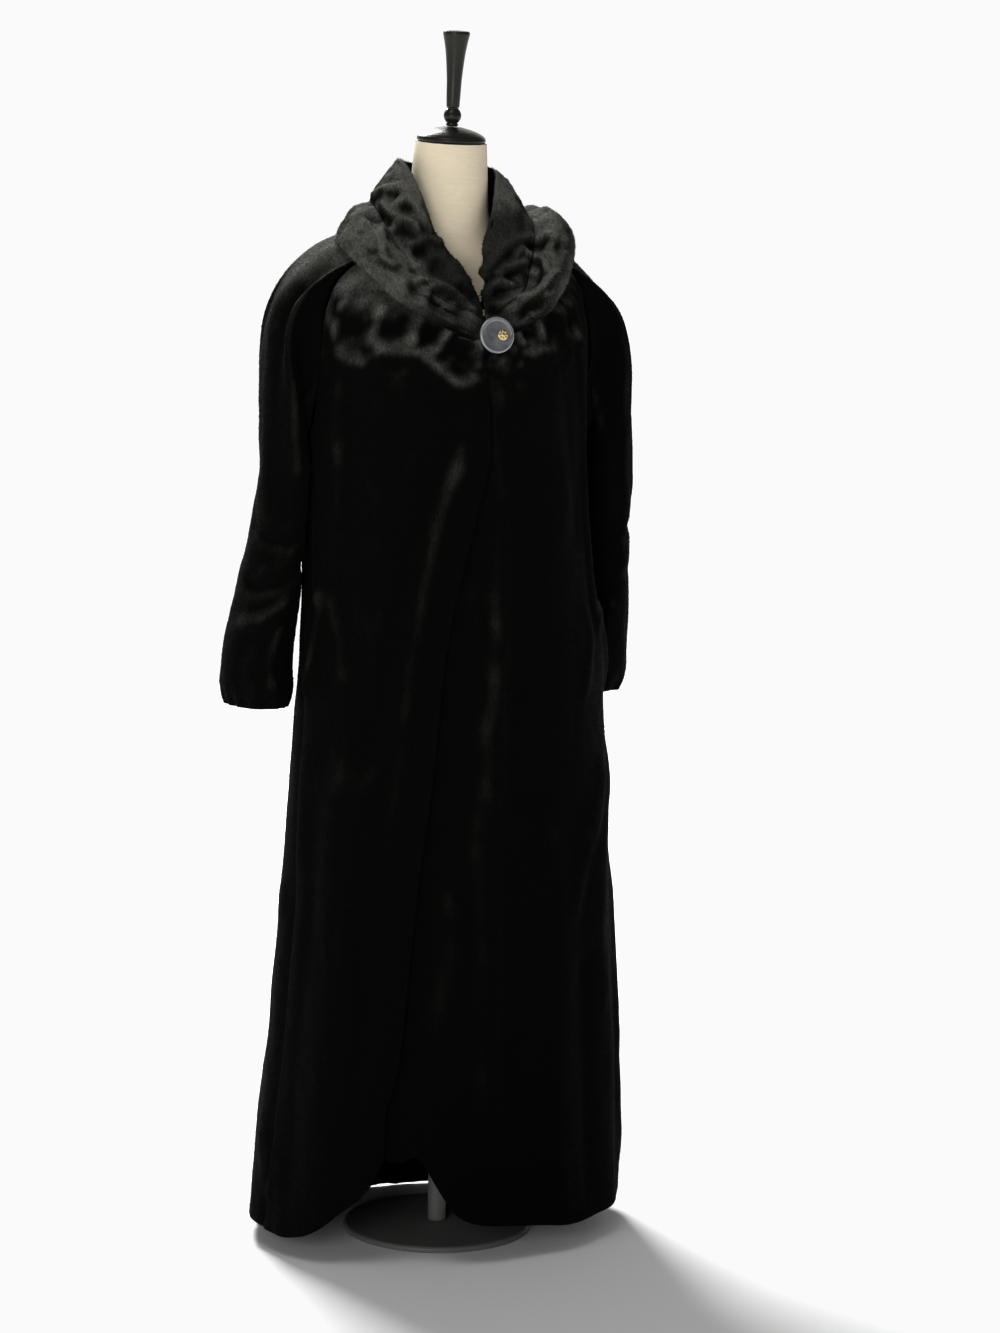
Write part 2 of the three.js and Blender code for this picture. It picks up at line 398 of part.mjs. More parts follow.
// ---------------------------------------------------------------- dress form
function ringStack(table, around, topTilt) {
  const pos = [], idx = [], zs = table.map((r) => r.z);
  const levels = [];
  for (let i = 0; i < zs.length - 1; i++) { levels.push(zs[i]); if (zs[i + 1] - zs[i] > 45) levels.push((zs[i] + zs[i + 1]) / 2); }
  levels.push(zs[zs.length - 1]);
  for (const z of levels) for (let k = 0; k < around; k++) {
    const t = (2 * Math.PI * k) / around;
    const back = -along(table, 'z', z, 'halfY') * Math.cos(t);
    const lift = z === zs[zs.length - 1] ? back * Math.tan(rad(topTilt)) : 0;   // the top is cut to the cap's slope
    pos.push(along(table, 'z', z, 'halfX') * Math.sin(t), along(table, 'z', z, 'centreY') + back, z + lift);
  }
  for (let i = 0; i < levels.length - 1; i++) for (let k = 0; k < around; k++) {
    const a = i * around + k, b = i * around + ((k + 1) % around);
    idx.push(a, b, b + around, a, b + around, a + around);
  }
  const low = pos.length / 3; pos.push(0, table[0].centreY, zs[0]);
  const high = pos.length / 3; pos.push(0, table[table.length - 1].centreY, zs[zs.length - 1]);
  const last = (levels.length - 1) * around;
  for (let k = 0; k < around; k++) { const m = (k + 1) % around; idx.push(low, m, k, high, last + k, last + m); }
  return closedGeometry(pos, idx);
}
function lathe(profile, around) {
  // profile rows [radius, height] from axis to axis, turned about +Z
  const g = new THREE.LatheGeometry(profile.map(([r, h]) => new THREE.Vector2(r, h)), around);
  g.rotateX(Math.PI / 2);
  g.deleteAttribute('normal'); g.deleteAttribute('uv');
  const m = mergeVertices(g, 1e-4);
  const p = Array.from(m.attributes.position.array), idx = [];
  for (let k = 0; k < m.index.count; k += 3) {
    const t = [m.index.getX(k), m.index.getX(k + 1), m.index.getX(k + 2)];
    if (t[0] !== t[1] && t[1] !== t[2] && t[0] !== t[2]) idx.push(...t);
  }
  return closedGeometry(p, idx);
}

// ---------------------------------------------------------------- assembly
const group = new THREE.Group();
const fur = () => new THREE.MeshStandardMaterial({ color: 0x0b0b0b, roughness: 0.95, metalness: 0 });
function add(parent, name, geometry, material) {
  const mesh = new THREE.Mesh(geometry, material);
  mesh.name = name;
  parent.add(mesh);
  return mesh;
}
const coat = new THREE.Group();
const form = new THREE.Group();
group.add(coat, form);

const rows = (n, top) => steps(0, 1, n);
add(coat, 'back', sheet(backPanel, steps(0, 1, 20), rows(22), WALL), fur());
add(coat, 'front_right', sheet(frontRight, steps(0, 1, 11), rows(22), WALL, { flip: true }), fur());
add(coat, 'front_left', sheet(frontLeft, steps(0, 1, 14), rows(22), WALL), fur());

const AROUND = 20;
const ring = Array.from({ length: AROUND }, (_, i) => i / AROUND);
const downSleeve = [...steps(0, 0.5, 8), ...steps(0.5, 1, 6).slice(1)];
add(coat, 'sleeve_right', sheet(sleeveSurface(SLEEVE_RIGHT, -1, 0.6), ring, downSleeve, WALL, { loop: true, mitre: 0.013 }), fur());
add(coat, 'sleeve_left', sheet(sleeveSurface(SLEEVE_LEFT, 1, 0.42), ring, downSleeve, WALL, { loop: true, flip: true, mitre: 0.013 }), fur());

const HOOD_SEAM = 0.006, BACK_SEAM = 0.9985;
for (const [side, table, flip] of [['right', HOOD_RIGHT, false], ['left', HOOD_LEFT, true]]) {
  const fn = hoodSurface(table);
  add(coat, `hood_inner_${side}`, sheet(fn, steps(0, BACK_SEAM, 14), steps(0, HOOD_GROOVE - HOOD_SEAM, 6), WALL, { flip }), fur());
  add(coat, `hood_border_${side}`, sheet(fn, steps(0, BACK_SEAM, 14), steps(HOOD_GROOVE + HOOD_SEAM, 1, 9), WALL, { flip }), fur());
}

// pocket bags, their two layers flat together against the inside of the coat
for (const [side, sign] of [['right', -1], ['left', 1]]) {
  const bag = (u, v) => bodyPoint(sign * mix(SIDE_SEAM_ANGLE - 30, SIDE_SEAM_ANGLE + 8, u), mix(POCKET.low - 55, POCKET.high + 12, v), -WALL - 9);
  add(coat, `pocket_bag_${side}`, sheet(bag, steps(0, 1, 5), steps(0, 1, 4), 3, { flip: sign < 0 }), new THREE.MeshStandardMaterial({ color: 0x101010, roughness: 0.8, metalness: 0 }));
}

// button: a dished disc with a raised rim and a shank; its face looks along -Y
const R = BUTTON.diameter / 2, T = BUTTON.thickness;
const buttonGroup = new THREE.Group();
buttonGroup.position.set(BUTTON.x, BUTTON.y, BUTTON.z);
buttonGroup.rotation.x = rad(90 - BUTTON.tilt);
coat.add(buttonGroup);
add(buttonGroup, 'button', lathe([
  [0, T / 2 - 1.2], [R - 5, T / 2 - 1.2], [R - 3, T / 2], [R - 1, T / 2], [R, T / 2 - 1.2], [R, -T / 2 + 1.6],
  [R - 2, -T / 2], [BUTTON.shank / 2, -T / 2], [BUTTON.shank / 2, -T / 2 - BUTTON.shankLength], [0, -T / 2 - BUTTON.shankLength],
], 40), new THREE.MeshStandardMaterial({ color: 0x7d7f84, roughness: 0.2, metalness: 0 }));
const inlay = add(buttonGroup, 'button_inlay', lathe([
  [0, 1.5], [2.2, 1.4], [3.2, 0.6], [4.2, 0.9], [5.6, 0.7], [6, 0], [0, 0],
], 16), new THREE.MeshStandardMaterial({ color: 0xb59a63, roughness: 0.3, metalness: 1 }));
inlay.position.set(8, 0, T / 2 - 0.9);

// closing loop: a round cord from under the upper front, round the shank
const loopCurve = new THREE.CatmullRomCurve3([
  new THREE.Vector3(-38, -136.5, 1246), new THREE.Vector3(-16, -139, 1247.5), new THREE.Vector3(6, -139.6, 1246.5),
  new THREE.Vector3(18.6, -139.8, 1240), new THREE.Vector3(6, -140.6, 1233.5), new THREE.Vector3(-16, -140.6, 1233), new THREE.Vector3(-38, -138.5, 1236),
]);
const cordShape = new THREE.Shape();
for (let k = 0; k < 8; k++) { const t = (k * Math.PI) / 4, x = (LOOP_CORD / 2) * Math.cos(t), y = (LOOP_CORD / 2) * Math.sin(t); if (k) cordShape.lineTo(x, y); else cordShape.moveTo(x, y); }
cordShape.closePath();
add(coat, 'button_loop', new THREE.ExtrudeGeometry(cordShape, { steps: 26, extrudePath: loopCurve, curveSegments: 8 }), new THREE.MeshStandardMaterial({ color: 0x0a0a0a, roughness: 0.7, metalness: 0 }));

// dress form and stand
add(form, 'form_torso', ringStack(FORM, 28, CAP.tilt), new THREE.MeshStandardMaterial({ color: 0xd9c9a8, roughness: 0.9, metalness: 0 }));
const neckTop = new THREE.Group();
neckTop.position.set(0, FORM[FORM.length - 1].centreY, CAP.z);
neckTop.rotation.x = rad(CAP.tilt);
form.add(neckTop);
const C = CAP.diameter / 2;
add(neckTop, 'form_cap', lathe([
  [0, 5.2], [C - 3, 5.2], [C - 0.6, 6.4], [C, 9], [C - 1.5, 12.5], [C - 9, 17.5], [C - 22, 22], [14, 24.6], [0, 25],
], 36), new THREE.MeshStandardMaterial({ color: 0x15140f, roughness: 0.2, metalness: 0 }));
const f0 = CAP.height + 0.6;
add(neckTop, 'form_finial', lathe([
  [0, f0], [7, f0], [8.5, f0 + 2], [7, f0 + 4.5], [10.5, f0 + 8], [12, f0 + 14], [10.5, f0 + 19.5], [7.2, f0 + 23.5],
  [9, f0 + 26], [10, f0 + 60], [13.2, f0 + 96], [17.4, f0 + 118], [18.2, f0 + 122], [16.5, f0 + 125], [0, f0 + 126],
], 28), new THREE.MeshStandardMaterial({ color: 0x100f0e, roughness: 0.3, metalness: 0 }));
add(form, 'stand_pole', lathe([[0, BASE.thickness + 0.4], [POLE.diameter / 2, BASE.thickness + 0.4], [POLE.diameter / 2, POLE.top], [0, POLE.top]], 24), new THREE.MeshStandardMaterial({ color: 0x6f6e6b, roughness: 0.45, metalness: 0.2 }));
add(form, 'stand_base', lathe([[0, 0], [BASE.diameter / 2 - 1, 0], [BASE.diameter / 2, 1.2], [BASE.diameter / 2, BASE.thickness - 2], [BASE.diameter / 2 - 3, BASE.thickness], [0, BASE.thickness]], 48), new THREE.MeshStandardMaterial({ color: 0x6f6e6b, roughness: 0.45, metalness: 0.2 }));

export default group;
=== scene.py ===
# A long hooded coat of short-pile black faux fur, buttoned at the neck, on a dress form.
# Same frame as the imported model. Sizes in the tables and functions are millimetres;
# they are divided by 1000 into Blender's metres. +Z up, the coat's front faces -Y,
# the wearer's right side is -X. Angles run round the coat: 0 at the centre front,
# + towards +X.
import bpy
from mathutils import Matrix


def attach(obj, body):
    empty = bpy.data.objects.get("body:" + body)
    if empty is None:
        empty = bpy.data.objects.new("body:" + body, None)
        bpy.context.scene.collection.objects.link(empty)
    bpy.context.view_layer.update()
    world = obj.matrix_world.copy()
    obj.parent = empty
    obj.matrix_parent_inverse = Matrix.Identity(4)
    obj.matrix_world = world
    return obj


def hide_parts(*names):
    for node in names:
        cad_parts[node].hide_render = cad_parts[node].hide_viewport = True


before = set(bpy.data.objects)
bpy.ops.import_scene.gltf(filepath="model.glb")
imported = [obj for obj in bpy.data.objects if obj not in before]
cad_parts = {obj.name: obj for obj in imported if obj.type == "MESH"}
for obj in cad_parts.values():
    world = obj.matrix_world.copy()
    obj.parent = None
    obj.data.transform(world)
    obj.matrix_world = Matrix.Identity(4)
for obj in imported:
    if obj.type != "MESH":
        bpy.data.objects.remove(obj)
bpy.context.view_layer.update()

import math
import bpy
import numpy as np
from mathutils import Matrix, Vector

# ------------------------------------------------------------------ sizes
WALL = 5.0                    # plush backing and pile pressed together
SEAM_GAP = 0.8
ARMHOLE_GAP = 3.0
SIDE_SEAM_ANGLE = 84.0
ARMPIT_LEVEL = 1092.0
NECK_LEVEL = 1385.0
OVERLAP_DROP = 9.0
SLEEVE_CLEARANCE = 9.0
POCKET_LOW, POCKET_HIGH, POCKET_GAPE = 755.0, 892.0, 9.0


def table(columns, rows):
    """A short table: {column: array}, one row for each section, edge point or fold."""
    out = {}
    for i, name in enumerate(columns.split()):
        column = [row[i] for row in rows]
        out[name] = column if name == "path" or isinstance(column[0], str) else np.array(column, float)
    return out


BODY = table("level zFront zSide zBack halfWidth front back centreX centreY", [
    (20, 20, 20, 20, 267, 203, 200, 0, 6),
    (60, 60, 60, 60, 264, 199, 197, 0, 4),
    (150, 150, 150, 150, 258, 191, 190, 0, -2),
    (220, 220, 220, 220, 253, 186, 186, 0, -8),
    (290, 290, 290, 290, 248, 182, 182, 0, -14),
    (380, 380, 380, 380, 242, 177, 177, 0, -19),
    (460, 460, 460, 460, 236, 172, 172, 0, -21),
    (545, 545, 545, 545, 230, 168, 168, 0, -23),
    (630, 630, 630, 630, 226, 163, 163, 0, -25),
    (700, 700, 700, 700, 221, 159, 159, 0, -26),
    (800, 800, 800, 800, 213, 155, 154, 0, -25),
    (915, 915, 915, 915, 203, 151, 148, -3, -22),
    (1010, 1010, 1010, 1010, 198, 148, 143, -6, -18),
    (1092, 1084, 1092, 1094, 196, 147, 140, -7, -12),
    (1170, 1143, 1170, 1180, 199, 151, 140, -5, -6),
    (1240, 1190, 1240, 1262, 201, 149, 138, -3, -2),
    (1300, 1222, 1300, 1330, 191, 142, 128, -1, 0),
    (1340, 1243, 1341, 1372, 165, 134, 112, 0, 2),
    (1365, 1258, 1363, 1392, 134, 119, 94, 0, 4),
    (1385, 1270, 1378, 1403, 104, 103, 80, 0, 6),
])
HEM_UPPER_FRONT = table("angle z", [
    (-100, 32),
    (-84, 28),
    (-72, 27),
    (-62, 34),
    (-54, 50),
    (-47, 74),
    (-40, 98),
    (-35.5, 126),
    (-32, 170),
    (-30, 210),
])
HEM_UNDER_FRONT = table("angle z", [
    (-38, 190),
    (-34, 150),
    (-28, 143),
    (-22.5, 152),
    (-20.6, 146),
    (-18, 125),
    (-14.3, 96),
    (-9.7, 69),
    (-5, 58),
    (17, 44),
    (31, 36),
    (46, 38),
    (62, 46),
    (76, 54),
    (92, 50),
    (100, 48),
])
HEM_BACK = table("angle z", [
    (80, 53),
    (100, 48),
    (118, 32),
    (136, 15),
    (156, 8),
    (180, 7),
    (206, 7),
    (228, 12),
    (246, 22),
    (262, 31),
    (280, 29),
])
UPPER_EDGE = table("level x", [
    (40, -144),
    (214, -140),
    (250, -130),
    (292, -124),
    (415, -112),
    (543, -98),
    (663, -82),
    (798, -68),
    (878, -54),
    (1000, -22),
    (1110, -1),
    (1240, -4),
    (1385, -6),
])
UNDER_EDGE = table("level x", [
    (40, -156),
    (250, -156),
    (543, -134),
    (878, -92),
    (1110, -40),
    (1240, -34),
    (1385, -22),
])
FOLDS = table("name z0 a0 z1 a1 z2 a2 width height", [
    ('under_front_fold', 1150, 5, 700, 0, 190, -2, 4.5, 7),
    ('under_front_dip', 1050, 17, 640, 14, 60, 12, 9, -5),
    ('upper_front_fold', 1100, -9, 940, -24, 740, -36, 5, 5),
    ('upper_skirt_fold', 700, -50, 400, -52, 60, -55, 9, 6),
    ('hip_fold_left', 700, 78, 560, 54, 440, 42, 7, 6),
    ('left_skirt_fold', 620, 47, 350, 50, 50, 53, 9, 7),
    ('right_side_fold', 560, -84, 300, -83, 60, -82, 8, -6),
    ('back_fold_centre', 1000, 176, 520, 180, 60, 183, 8, 7),
    ('back_fold_right', 900, 220, 480, 224, 60, 227, 9, 8),
    ('back_fold_left', 940, 138, 500, 134, 60, 131, 9, 8),
    ('back_dip_right', 860, 202, 460, 203, 60, 205, 8, -6),
    ('back_dip_left', 880, 157, 460, 157, 60, 156, 8, -6),
])
ARMHOLE = table("up frontAngle backAngle", [
    (0, 90, 90),
    (0.12, 81, 103),
    (0.4, 75, 117),
    (0.75, 72, 122),
    (1, 64, 124),
])
SLEEVE_RIGHT = table("z x y halfX halfY", [
    (1056, -210, 26, 43, 68),
    (960, -225, 26, 44, 68),
    (895, -239, 26, 45, 68),
    (800, -257, 26, 47, 67),
    (742, -258, 26, 43, 64),
])
SLEEVE_LEFT = table("z x y halfX halfY", [
    (1056, 233, 26, 44, 68),
    (960, 238, 34, 44, 68),
    (895, 241, 40, 45, 68),
    (800, 244, 48, 46, 67),
    (742, 239, 50, 43, 64),
])
HOOD_RIGHT = table("angle ridge strip groove roll edge belly bottom", [
    (-2, (-3, -118, 1286), (-14, -127, 1277), (-26, -136, 1264), (-36, -146, 1254), (-43, -152, 1239), (-42, -150, 1230), (-37, -146, 1225)),
    (-16, (-18, -99, 1327), (-44, -114, 1317), (-76, -124, 1302), (-96, -137, 1301), (-115, -134, 1294), (-117, -130, 1285), (-113, -126, 1279)),
    (-36, (-44, -77, 1364), (-70, -91, 1357), (-97, -98, 1343), (-122, -106, 1344), (-145, -96, 1330), (-148, -92, 1321), (-144, -88, 1315)),
    (-62, (-61, -48, 1428), (-86, -55, 1413), (-112, -56, 1386), (-137, -56, 1381), (-163, -47, 1362), (-168, -43, 1354), (-166, -41, 1348)),
    (-94, (-67, -8, 1462), (-89, -6, 1444), (-110, 2, 1412), (-135, 8, 1403), (-160, 12, 1382), (-168, 15, 1371), (-167, 17, 1364)),
    (-112, (-64, 18, 1466), (-82, 28, 1445), (-100, 44, 1404), (-121, 56, 1396), (-145, 62, 1370), (-155, 72, 1364), (-154, 79, 1357)),
    (-130, (-53, 46, 1467), (-69, 64, 1442), (-85, 90, 1390), (-106, 106, 1384), (-128, 120, 1340), (-136, 126, 1296), (-132, 120, 1254)),
    (-155, (-30, 72, 1466), (-40, 100, 1436), (-48, 136, 1366), (-76, 172, 1376), (-94, 196, 1326), (-104, 194, 1246), (-96, 152, 1176)),
    (-180, (0, 84, 1464), (0, 112, 1434), (0, 152, 1358), (0, 194, 1372), (0, 218, 1318), (0, 214, 1228), (0, 160, 1152)),
])
HOOD_LEFT = table("angle ridge strip groove roll edge belly bottom", [
    (4, (5, -118, 1287), (22, -126, 1281), (41, -132, 1270), (55, -140, 1265), (70, -144, 1250), (71, -142, 1241), (66, -138, 1236)),
    (16, (10, -104, 1318), (34, -113, 1313), (62, -121, 1303), (82, -132, 1304), (100, -133, 1291), (103, -129, 1282), (100, -125, 1276)),
    (36, (17, -81, 1356), (48, -90, 1354), (82, -97, 1341), (107, -109, 1350), (133, -104, 1334), (137, -98, 1322), (135, -94, 1315)),
    (62, (43, -52, 1412), (74, -54, 1410), (102, -56, 1384), (130, -64, 1396), (157, -58, 1376), (162, -53, 1360), (159, -50, 1349)),
    (94, (62, -12, 1450), (86, -8, 1440), (108, 0, 1408), (135, -2, 1408), (160, 4, 1387), (168, 9, 1373), (167, 12, 1364)),
    (112, (61, 18, 1460), (81, 28, 1443), (100, 44, 1402), (122, 54, 1398), (146, 62, 1372), (156, 72, 1364), (154, 79, 1357)),
    (130, (53, 46, 1464), (69, 64, 1441), (85, 90, 1389), (107, 105, 1386), (129, 120, 1341), (137, 126, 1296), (133, 120, 1254)),
    (155, (30, 72, 1465), (40, 100, 1436), (48, 136, 1365), (76, 172, 1375), (94, 196, 1325), (104, 194, 1246), (96, 152, 1176)),
    (180, (0, 84, 1464), (0, 112, 1434), (0, 152, 1358), (0, 194, 1372), (0, 218, 1318), (0, 214, 1228), (0, 160, 1152)),
])
FORM = table("z halfX halfY centreY", [
    (780, 150, 106, -4),
    (790, 159, 114, -4),
    (840, 164, 119, -4),
    (910, 155, 113, -3),
    (980, 131, 98, -2),
    (1040, 122, 94, -2),
    (1110, 134, 104, -4),
    (1180, 147, 112, -6),
    (1232, 152, 105, -2),
    (1262, 151, 90, 4),
    (1290, 146, 79, 7),
    (1322, 128, 71, 8),
    (1348, 92, 64, 8),
    (1368, 66, 57, 6),
    (1395, 56, 54, 3),
    (1430, 52.5, 52, -1),
    (1492.6, 48, 48.5, -7),
])


# ------------------------------------------------------------------ helpers
def smooth(a, b, x):
    t = np.clip((x - a) / (b - a), 0.0, 1.0)
    return t * t * (3 - 2 * t)


def mix(a, b, t):
    return a + (b - a) * t


def along(tab, key, x, column):
    """Smooth monotone curve through one column of a table."""
    xs, ys = tab[key], tab[column]
    if xs[0] > xs[-1]:
        xs, ys = xs[::-1], ys[::-1]
    x = np.clip(np.asarray(x, float), xs[0], xs[-1])
    h = np.diff(xs)
    d = np.diff(ys) / h
    m = np.zeros(len(xs))
    prod = d[:-1] * d[1:]
    m[1:-1] = np.where(prod > 0, 2 * prod / np.where(d[:-1] + d[1:] == 0, 1, d[:-1] + d[1:]), 0)
    m[0], m[-1] = d[0], d[-1]
    i = np.clip(np.searchsorted(xs, x, side="right") - 1, 0, len(xs) - 2)
    t = (x - xs[i]) / h[i]
    t2, t3 = t * t, t * t * t
    return ((2 * t3 - 3 * t2 + 1) * ys[i] + (t3 - 2 * t2 + t) * h[i] * m[i]
            + (-2 * t3 + 3 * t2) * ys[i + 1] + (t3 - t2) * h[i] * m[i + 1])


def hash01(ix, iy, iz, seed):
    """A fixed number from 0 to 1 for each lattice cell."""
    n = (ix.astype(np.int64) * 374761393 + iy.astype(np.int64) * 668265263
         + iz.astype(np.int64) * 2147483647 + seed * 1274126177) & 0xFFFFFFFF
    n = ((n ^ (n >> 13)) * 1103515245) & 0xFFFFFFFF
    n = ((n ^ (n >> 16)) * 2246822519) & 0xFFFFFFFF
    return ((n ^ (n >> 13)) & 0xFFFFFF) / float(0xFFFFFF)


def noise(p, scale, seed=0):
    """Smooth value noise, -1 to 1, of points p (..., 3) with cells `scale` wide."""
    q = np.asarray(p, float) / scale
    i = np.floor(q).astype(np.int64)
    f = q - i
    f = f * f * f * (f * (f * 6 - 15) + 10)
    out = 0.0
    for dx in (0, 1):
        for dy in (0, 1):
            for dz in (0, 1):
                w = ((f[..., 0] if dx else 1 - f[..., 0]) * (f[..., 1] if dy else 1 - f[..., 1])
                     * (f[..., 2] if dz else 1 - f[..., 2]))
                out = out + w * hash01(i[..., 0] + dx, i[..., 1] + dy, i[..., 2] + dz, seed)
    return out * 2 - 1


def fbm(p, scale, seed=0, octaves=3):
    total, amp, norm = 0.0, 1.0, 0.0
    for k in range(octaves):
        total = total + amp * noise(p, scale / 2 ** k, seed + 17 * k)
        norm += amp
        amp *= 0.5
    return total / norm


def unit(v):
    return v / np.maximum(np.linalg.norm(v, axis=-1, keepdims=True), 1e-9)


# ------------------------------------------------------------------ coat body
def fold_height(angle, z):
    h = np.zeros(np.broadcast(angle, z).shape)
    for k in range(len(FOLDS["z0"])):
        z0, a0, z1, a1, z2, a2 = (FOLDS[c][k] for c in ("z0", "a0", "z1", "a1", "z2", "a2"))
        c = np.where(z > z1, mix(a1, a0, (z - z1) / (z0 - z1)), mix(a2, a1, (z - z2) / (z1 - z2)))
        d = (angle - c + 180) % 360 - 180
        fade = (1 - smooth(z0 - 90, z0, z)) * smooth(z2 - 60, z2, z)
        h = h + FOLDS["height"][k] * np.exp(-(d / FOLDS["width"][k]) ** 2) * fade
    return h


def body_z(angle, level):
    c = np.cos(np.radians(angle))
    zs = along(BODY, "level", level, "zSide")
    ze = np.where(c > 0, along(BODY, "level", level, "zFront"), along(BODY, "level", level, "zBack"))
    return mix(zs, ze, c * c)


def body_point(angle, level, out=0.0):
    angle, level = np.asarray(angle, float), np.asarray(level, float)
    a, cy = along(BODY, "level", level, "halfWidth"), along(BODY, "level", level, "centreY")
    c, s = np.cos(np.radians(angle)), np.sin(np.radians(angle))
    b = np.where(c > 0, along(BODY, "level", level, "front"), along(BODY, "level", level, "back"))
    z = body_z(angle, level)
    r = out + fold_height(angle, z)
    nx, ny = s / a, -c / b
    length = np.hypot(nx, ny)
    nx, ny = nx / length, ny / length
    tilt = smooth(1180.0, 1385.0, level)
    return np.stack([along(BODY, "level", level, "centreX") + a * s + nx * r * (1 - 0.7 * tilt),
                     cy - b * c + ny * r * (1 - 0.7 * tilt), z + r * tilt], -1)


def angle_at_x(level, x):
    q = (x - along(BODY, "level", level, "centreX")) / along(BODY, "level", level, "halfWidth")
    return np.degrees(np.arcsin(np.clip(q, -1, 1)))


def up_of(level):
    return np.maximum(0, (level - ARMPIT_LEVEL) / (NECK_LEVEL - ARMPIT_LEVEL))


def side_limit(level, column):
    below = mix(SIDE_SEAM_ANGLE, 90.0, smooth(1000.0, ARMPIT_LEVEL, level))
    return np.where(level <= ARMPIT_LEVEL, below, along(ARMHOLE, "up", up_of(level), column))


def gap_angle(level):
    gap = mix(SEAM_GAP, ARMHOLE_GAP, smooth(ARMPIT_LEVEL, ARMPIT_LEVEL + 60, level))
    return np.degrees(gap / 2 / along(BODY, "level", level, "halfWidth"))


def gape(level):
    return (POCKET_GAPE * smooth(POCKET_LOW - 10, POCKET_LOW + 45, level)
            * (1 - smooth(POCKET_HIGH - 45, POCKET_HIGH + 10, level)))


def front_right(u, v):
    """u from the front edge (0) to the side (1), v from the hem (0) to the neckline (1)."""
    top = NECK_LEVEL - 2
    guess = mix(120.0, top, v)
    edge = angle_at_x(guess, along(UPPER_EDGE, "level", guess, "x"))
    angle = mix(edge, -(side_limit(guess, "frontAngle") - gap_angle(guess)), u)
    level = mix(along(HEM_UPPER_FRONT, "angle", angle, "z"), top, v)
    edge = angle_at_x(level, along(UPPER_EDGE, "level", level, "x"))
    angle = mix(edge, -(side_limit(level, "frontAngle") - gap_angle(level)), u)
    return angle, level, gape(level) * np.exp(-((1 - u) * 6) ** 2)


def front_left(u, v):
    top = NECK_LEVEL - 2
    guess = mix(60.0, top, v)
    edge = angle_at_x(guess, along(UNDER_EDGE, "level", guess, "x"))
    angle = mix(edge, side_limit(guess, "frontAngle") - gap_angle(guess), u)
    level = mix(along(HEM_UNDER_FRONT, "angle", angle, "z"), top, v)
    edge = angle_at_x(level, along(UNDER_EDGE, "level", level, "x"))
    angle = mix(edge, side_limit(level, "frontAngle") - gap_angle(level), u)
    cover = angle_at_x(level, along(UPPER_EDGE, "level", level, "x"))
    drop = OVERLAP_DROP * (1 - smooth(cover + 3, cover + 20, angle))
    return angle, level, gape(level) * np.exp(-((1 - u) * 6) ** 2) - drop


def back_panel(u, v):
    """u from the +X side seam (0) round the back to the -X one (1)."""
    top = NECK_LEVEL - 2
    guess = mix(44.0, top, v)
    a0 = side_limit(guess, "backAngle") + gap_angle(guess)
    level = mix(along(HEM_BACK, "angle", mix(a0, 360 - a0, u), "z"), top, v)
    b0 = side_limit(level, "backAngle") + gap_angle(level)
    return mix(b0, 360 - b0, u), level, np.zeros(np.broadcast(u, v).shape)


# ------------------------------------------------------------------ sleeves
def push_clear(p):
    z = p[..., 2]
    want = SLEEVE_CLEARANCE * (1 - smooth(ARMPIT_LEVEL - 52, ARMPIT_LEVEL - 2, z))
    a, cx, cy = (along(BODY, "level", z, c) for c in ("halfWidth", "centreX", "centreY"))
    dx, dy = p[..., 0] - cx, p[..., 1] - cy
    b = np.where(dy < 0, along(BODY, "level", z, "front"), along(BODY, "level", z, "back"))
    angle = np.degrees(np.arctan2(dx / a, -dy / b))
    r, e = np.hypot(dx, dy), np.hypot(dx / a, dy / b)
    limit = r / e + want + np.maximum(0, fold_height(angle, z)) + 1.2
    k = np.where((r < limit) & (z <= ARMPIT_LEVEL + 110), limit / r, 1.0)
    return np.stack([cx + dx * k, cy + dy * k, z], -1)


def armhole_point(sign, f):
    f = f % 1.0
    q1, q2, q3 = f / 0.42, (f - 0.42) / 0.16, (1 - f) / 0.42
    level = np.where(f < 0.42, mix(ARMPIT_LEVEL, NECK_LEVEL, q1), np.where(f <= 0.58, NECK_LEVEL, mix(ARMPIT_LEVEL, NECK_LEVEL, q3)))
    top_a, top_b = ARMHOLE["frontAngle"][-1], ARMHOLE["backAngle"][-1]
    angle = np.where(f < 0.42, along(ARMHOLE, "up", q1, "frontAngle"),
                     np.where(f <= 0.58, mix(top_a, top_b, q2), along(ARMHOLE, "up", q3, "backAngle")))
    return sign * angle, level


def sleeve(tab, sign, rise, f, v):
    """f round the sleeve (0 at the body side, quarter at the front), v from the armhole (0) to the cuff (1)."""
    def section(z):
        t = 2 * np.pi * f
        return np.stack([along(tab, "z", z, "x") - sign * along(tab, "z", z, "halfX") * np.cos(t),
                         along(tab, "z", z, "y") - along(tab, "z", z, "halfY") * np.sin(t), z + 0 * t], -1)
    z_top, z_cuff, split = tab["z"][0], tab["z"][-1], 0.5
    low = push_clear(section(mix(z_top, z_cuff, np.clip((v - split) / (1 - split), 0, 1))))
    angle, level = armhole_point(sign, f)
    p0 = body_point(angle, level)
    n = unit(body_point(angle, level, 1.0) - p0)
    d = np.broadcast_to(np.array([sign, 0, -0.35]), p0.shape)
    d = unit(d - n * np.sum(d * n, -1, keepdims=True))
    away = (1 - smooth(0.03, 0.4, up_of(level)))[..., None]
    d = unit(d * (1 - away) + n * away)
    p3 = push_clear(section(z_top + 0 * f))
    reach = np.linalg.norm(p3 - p0, axis=-1, keepdims=True)
    start = p0 + d * 1.2
    p1 = start + d * (0.42 - 0.14 * away) * reach
    p2 = p3 + reach * np.array([0, 0, rise])
    t = np.clip(v / split, 0, 1)[..., None]
    s = 1 - t
    high = push_clear(start * s ** 3 + p1 * 3 * s * s * t + p2 * 3 * s * t * t + p3 * t ** 3)
    return np.where((v > split)[..., None], low, high)


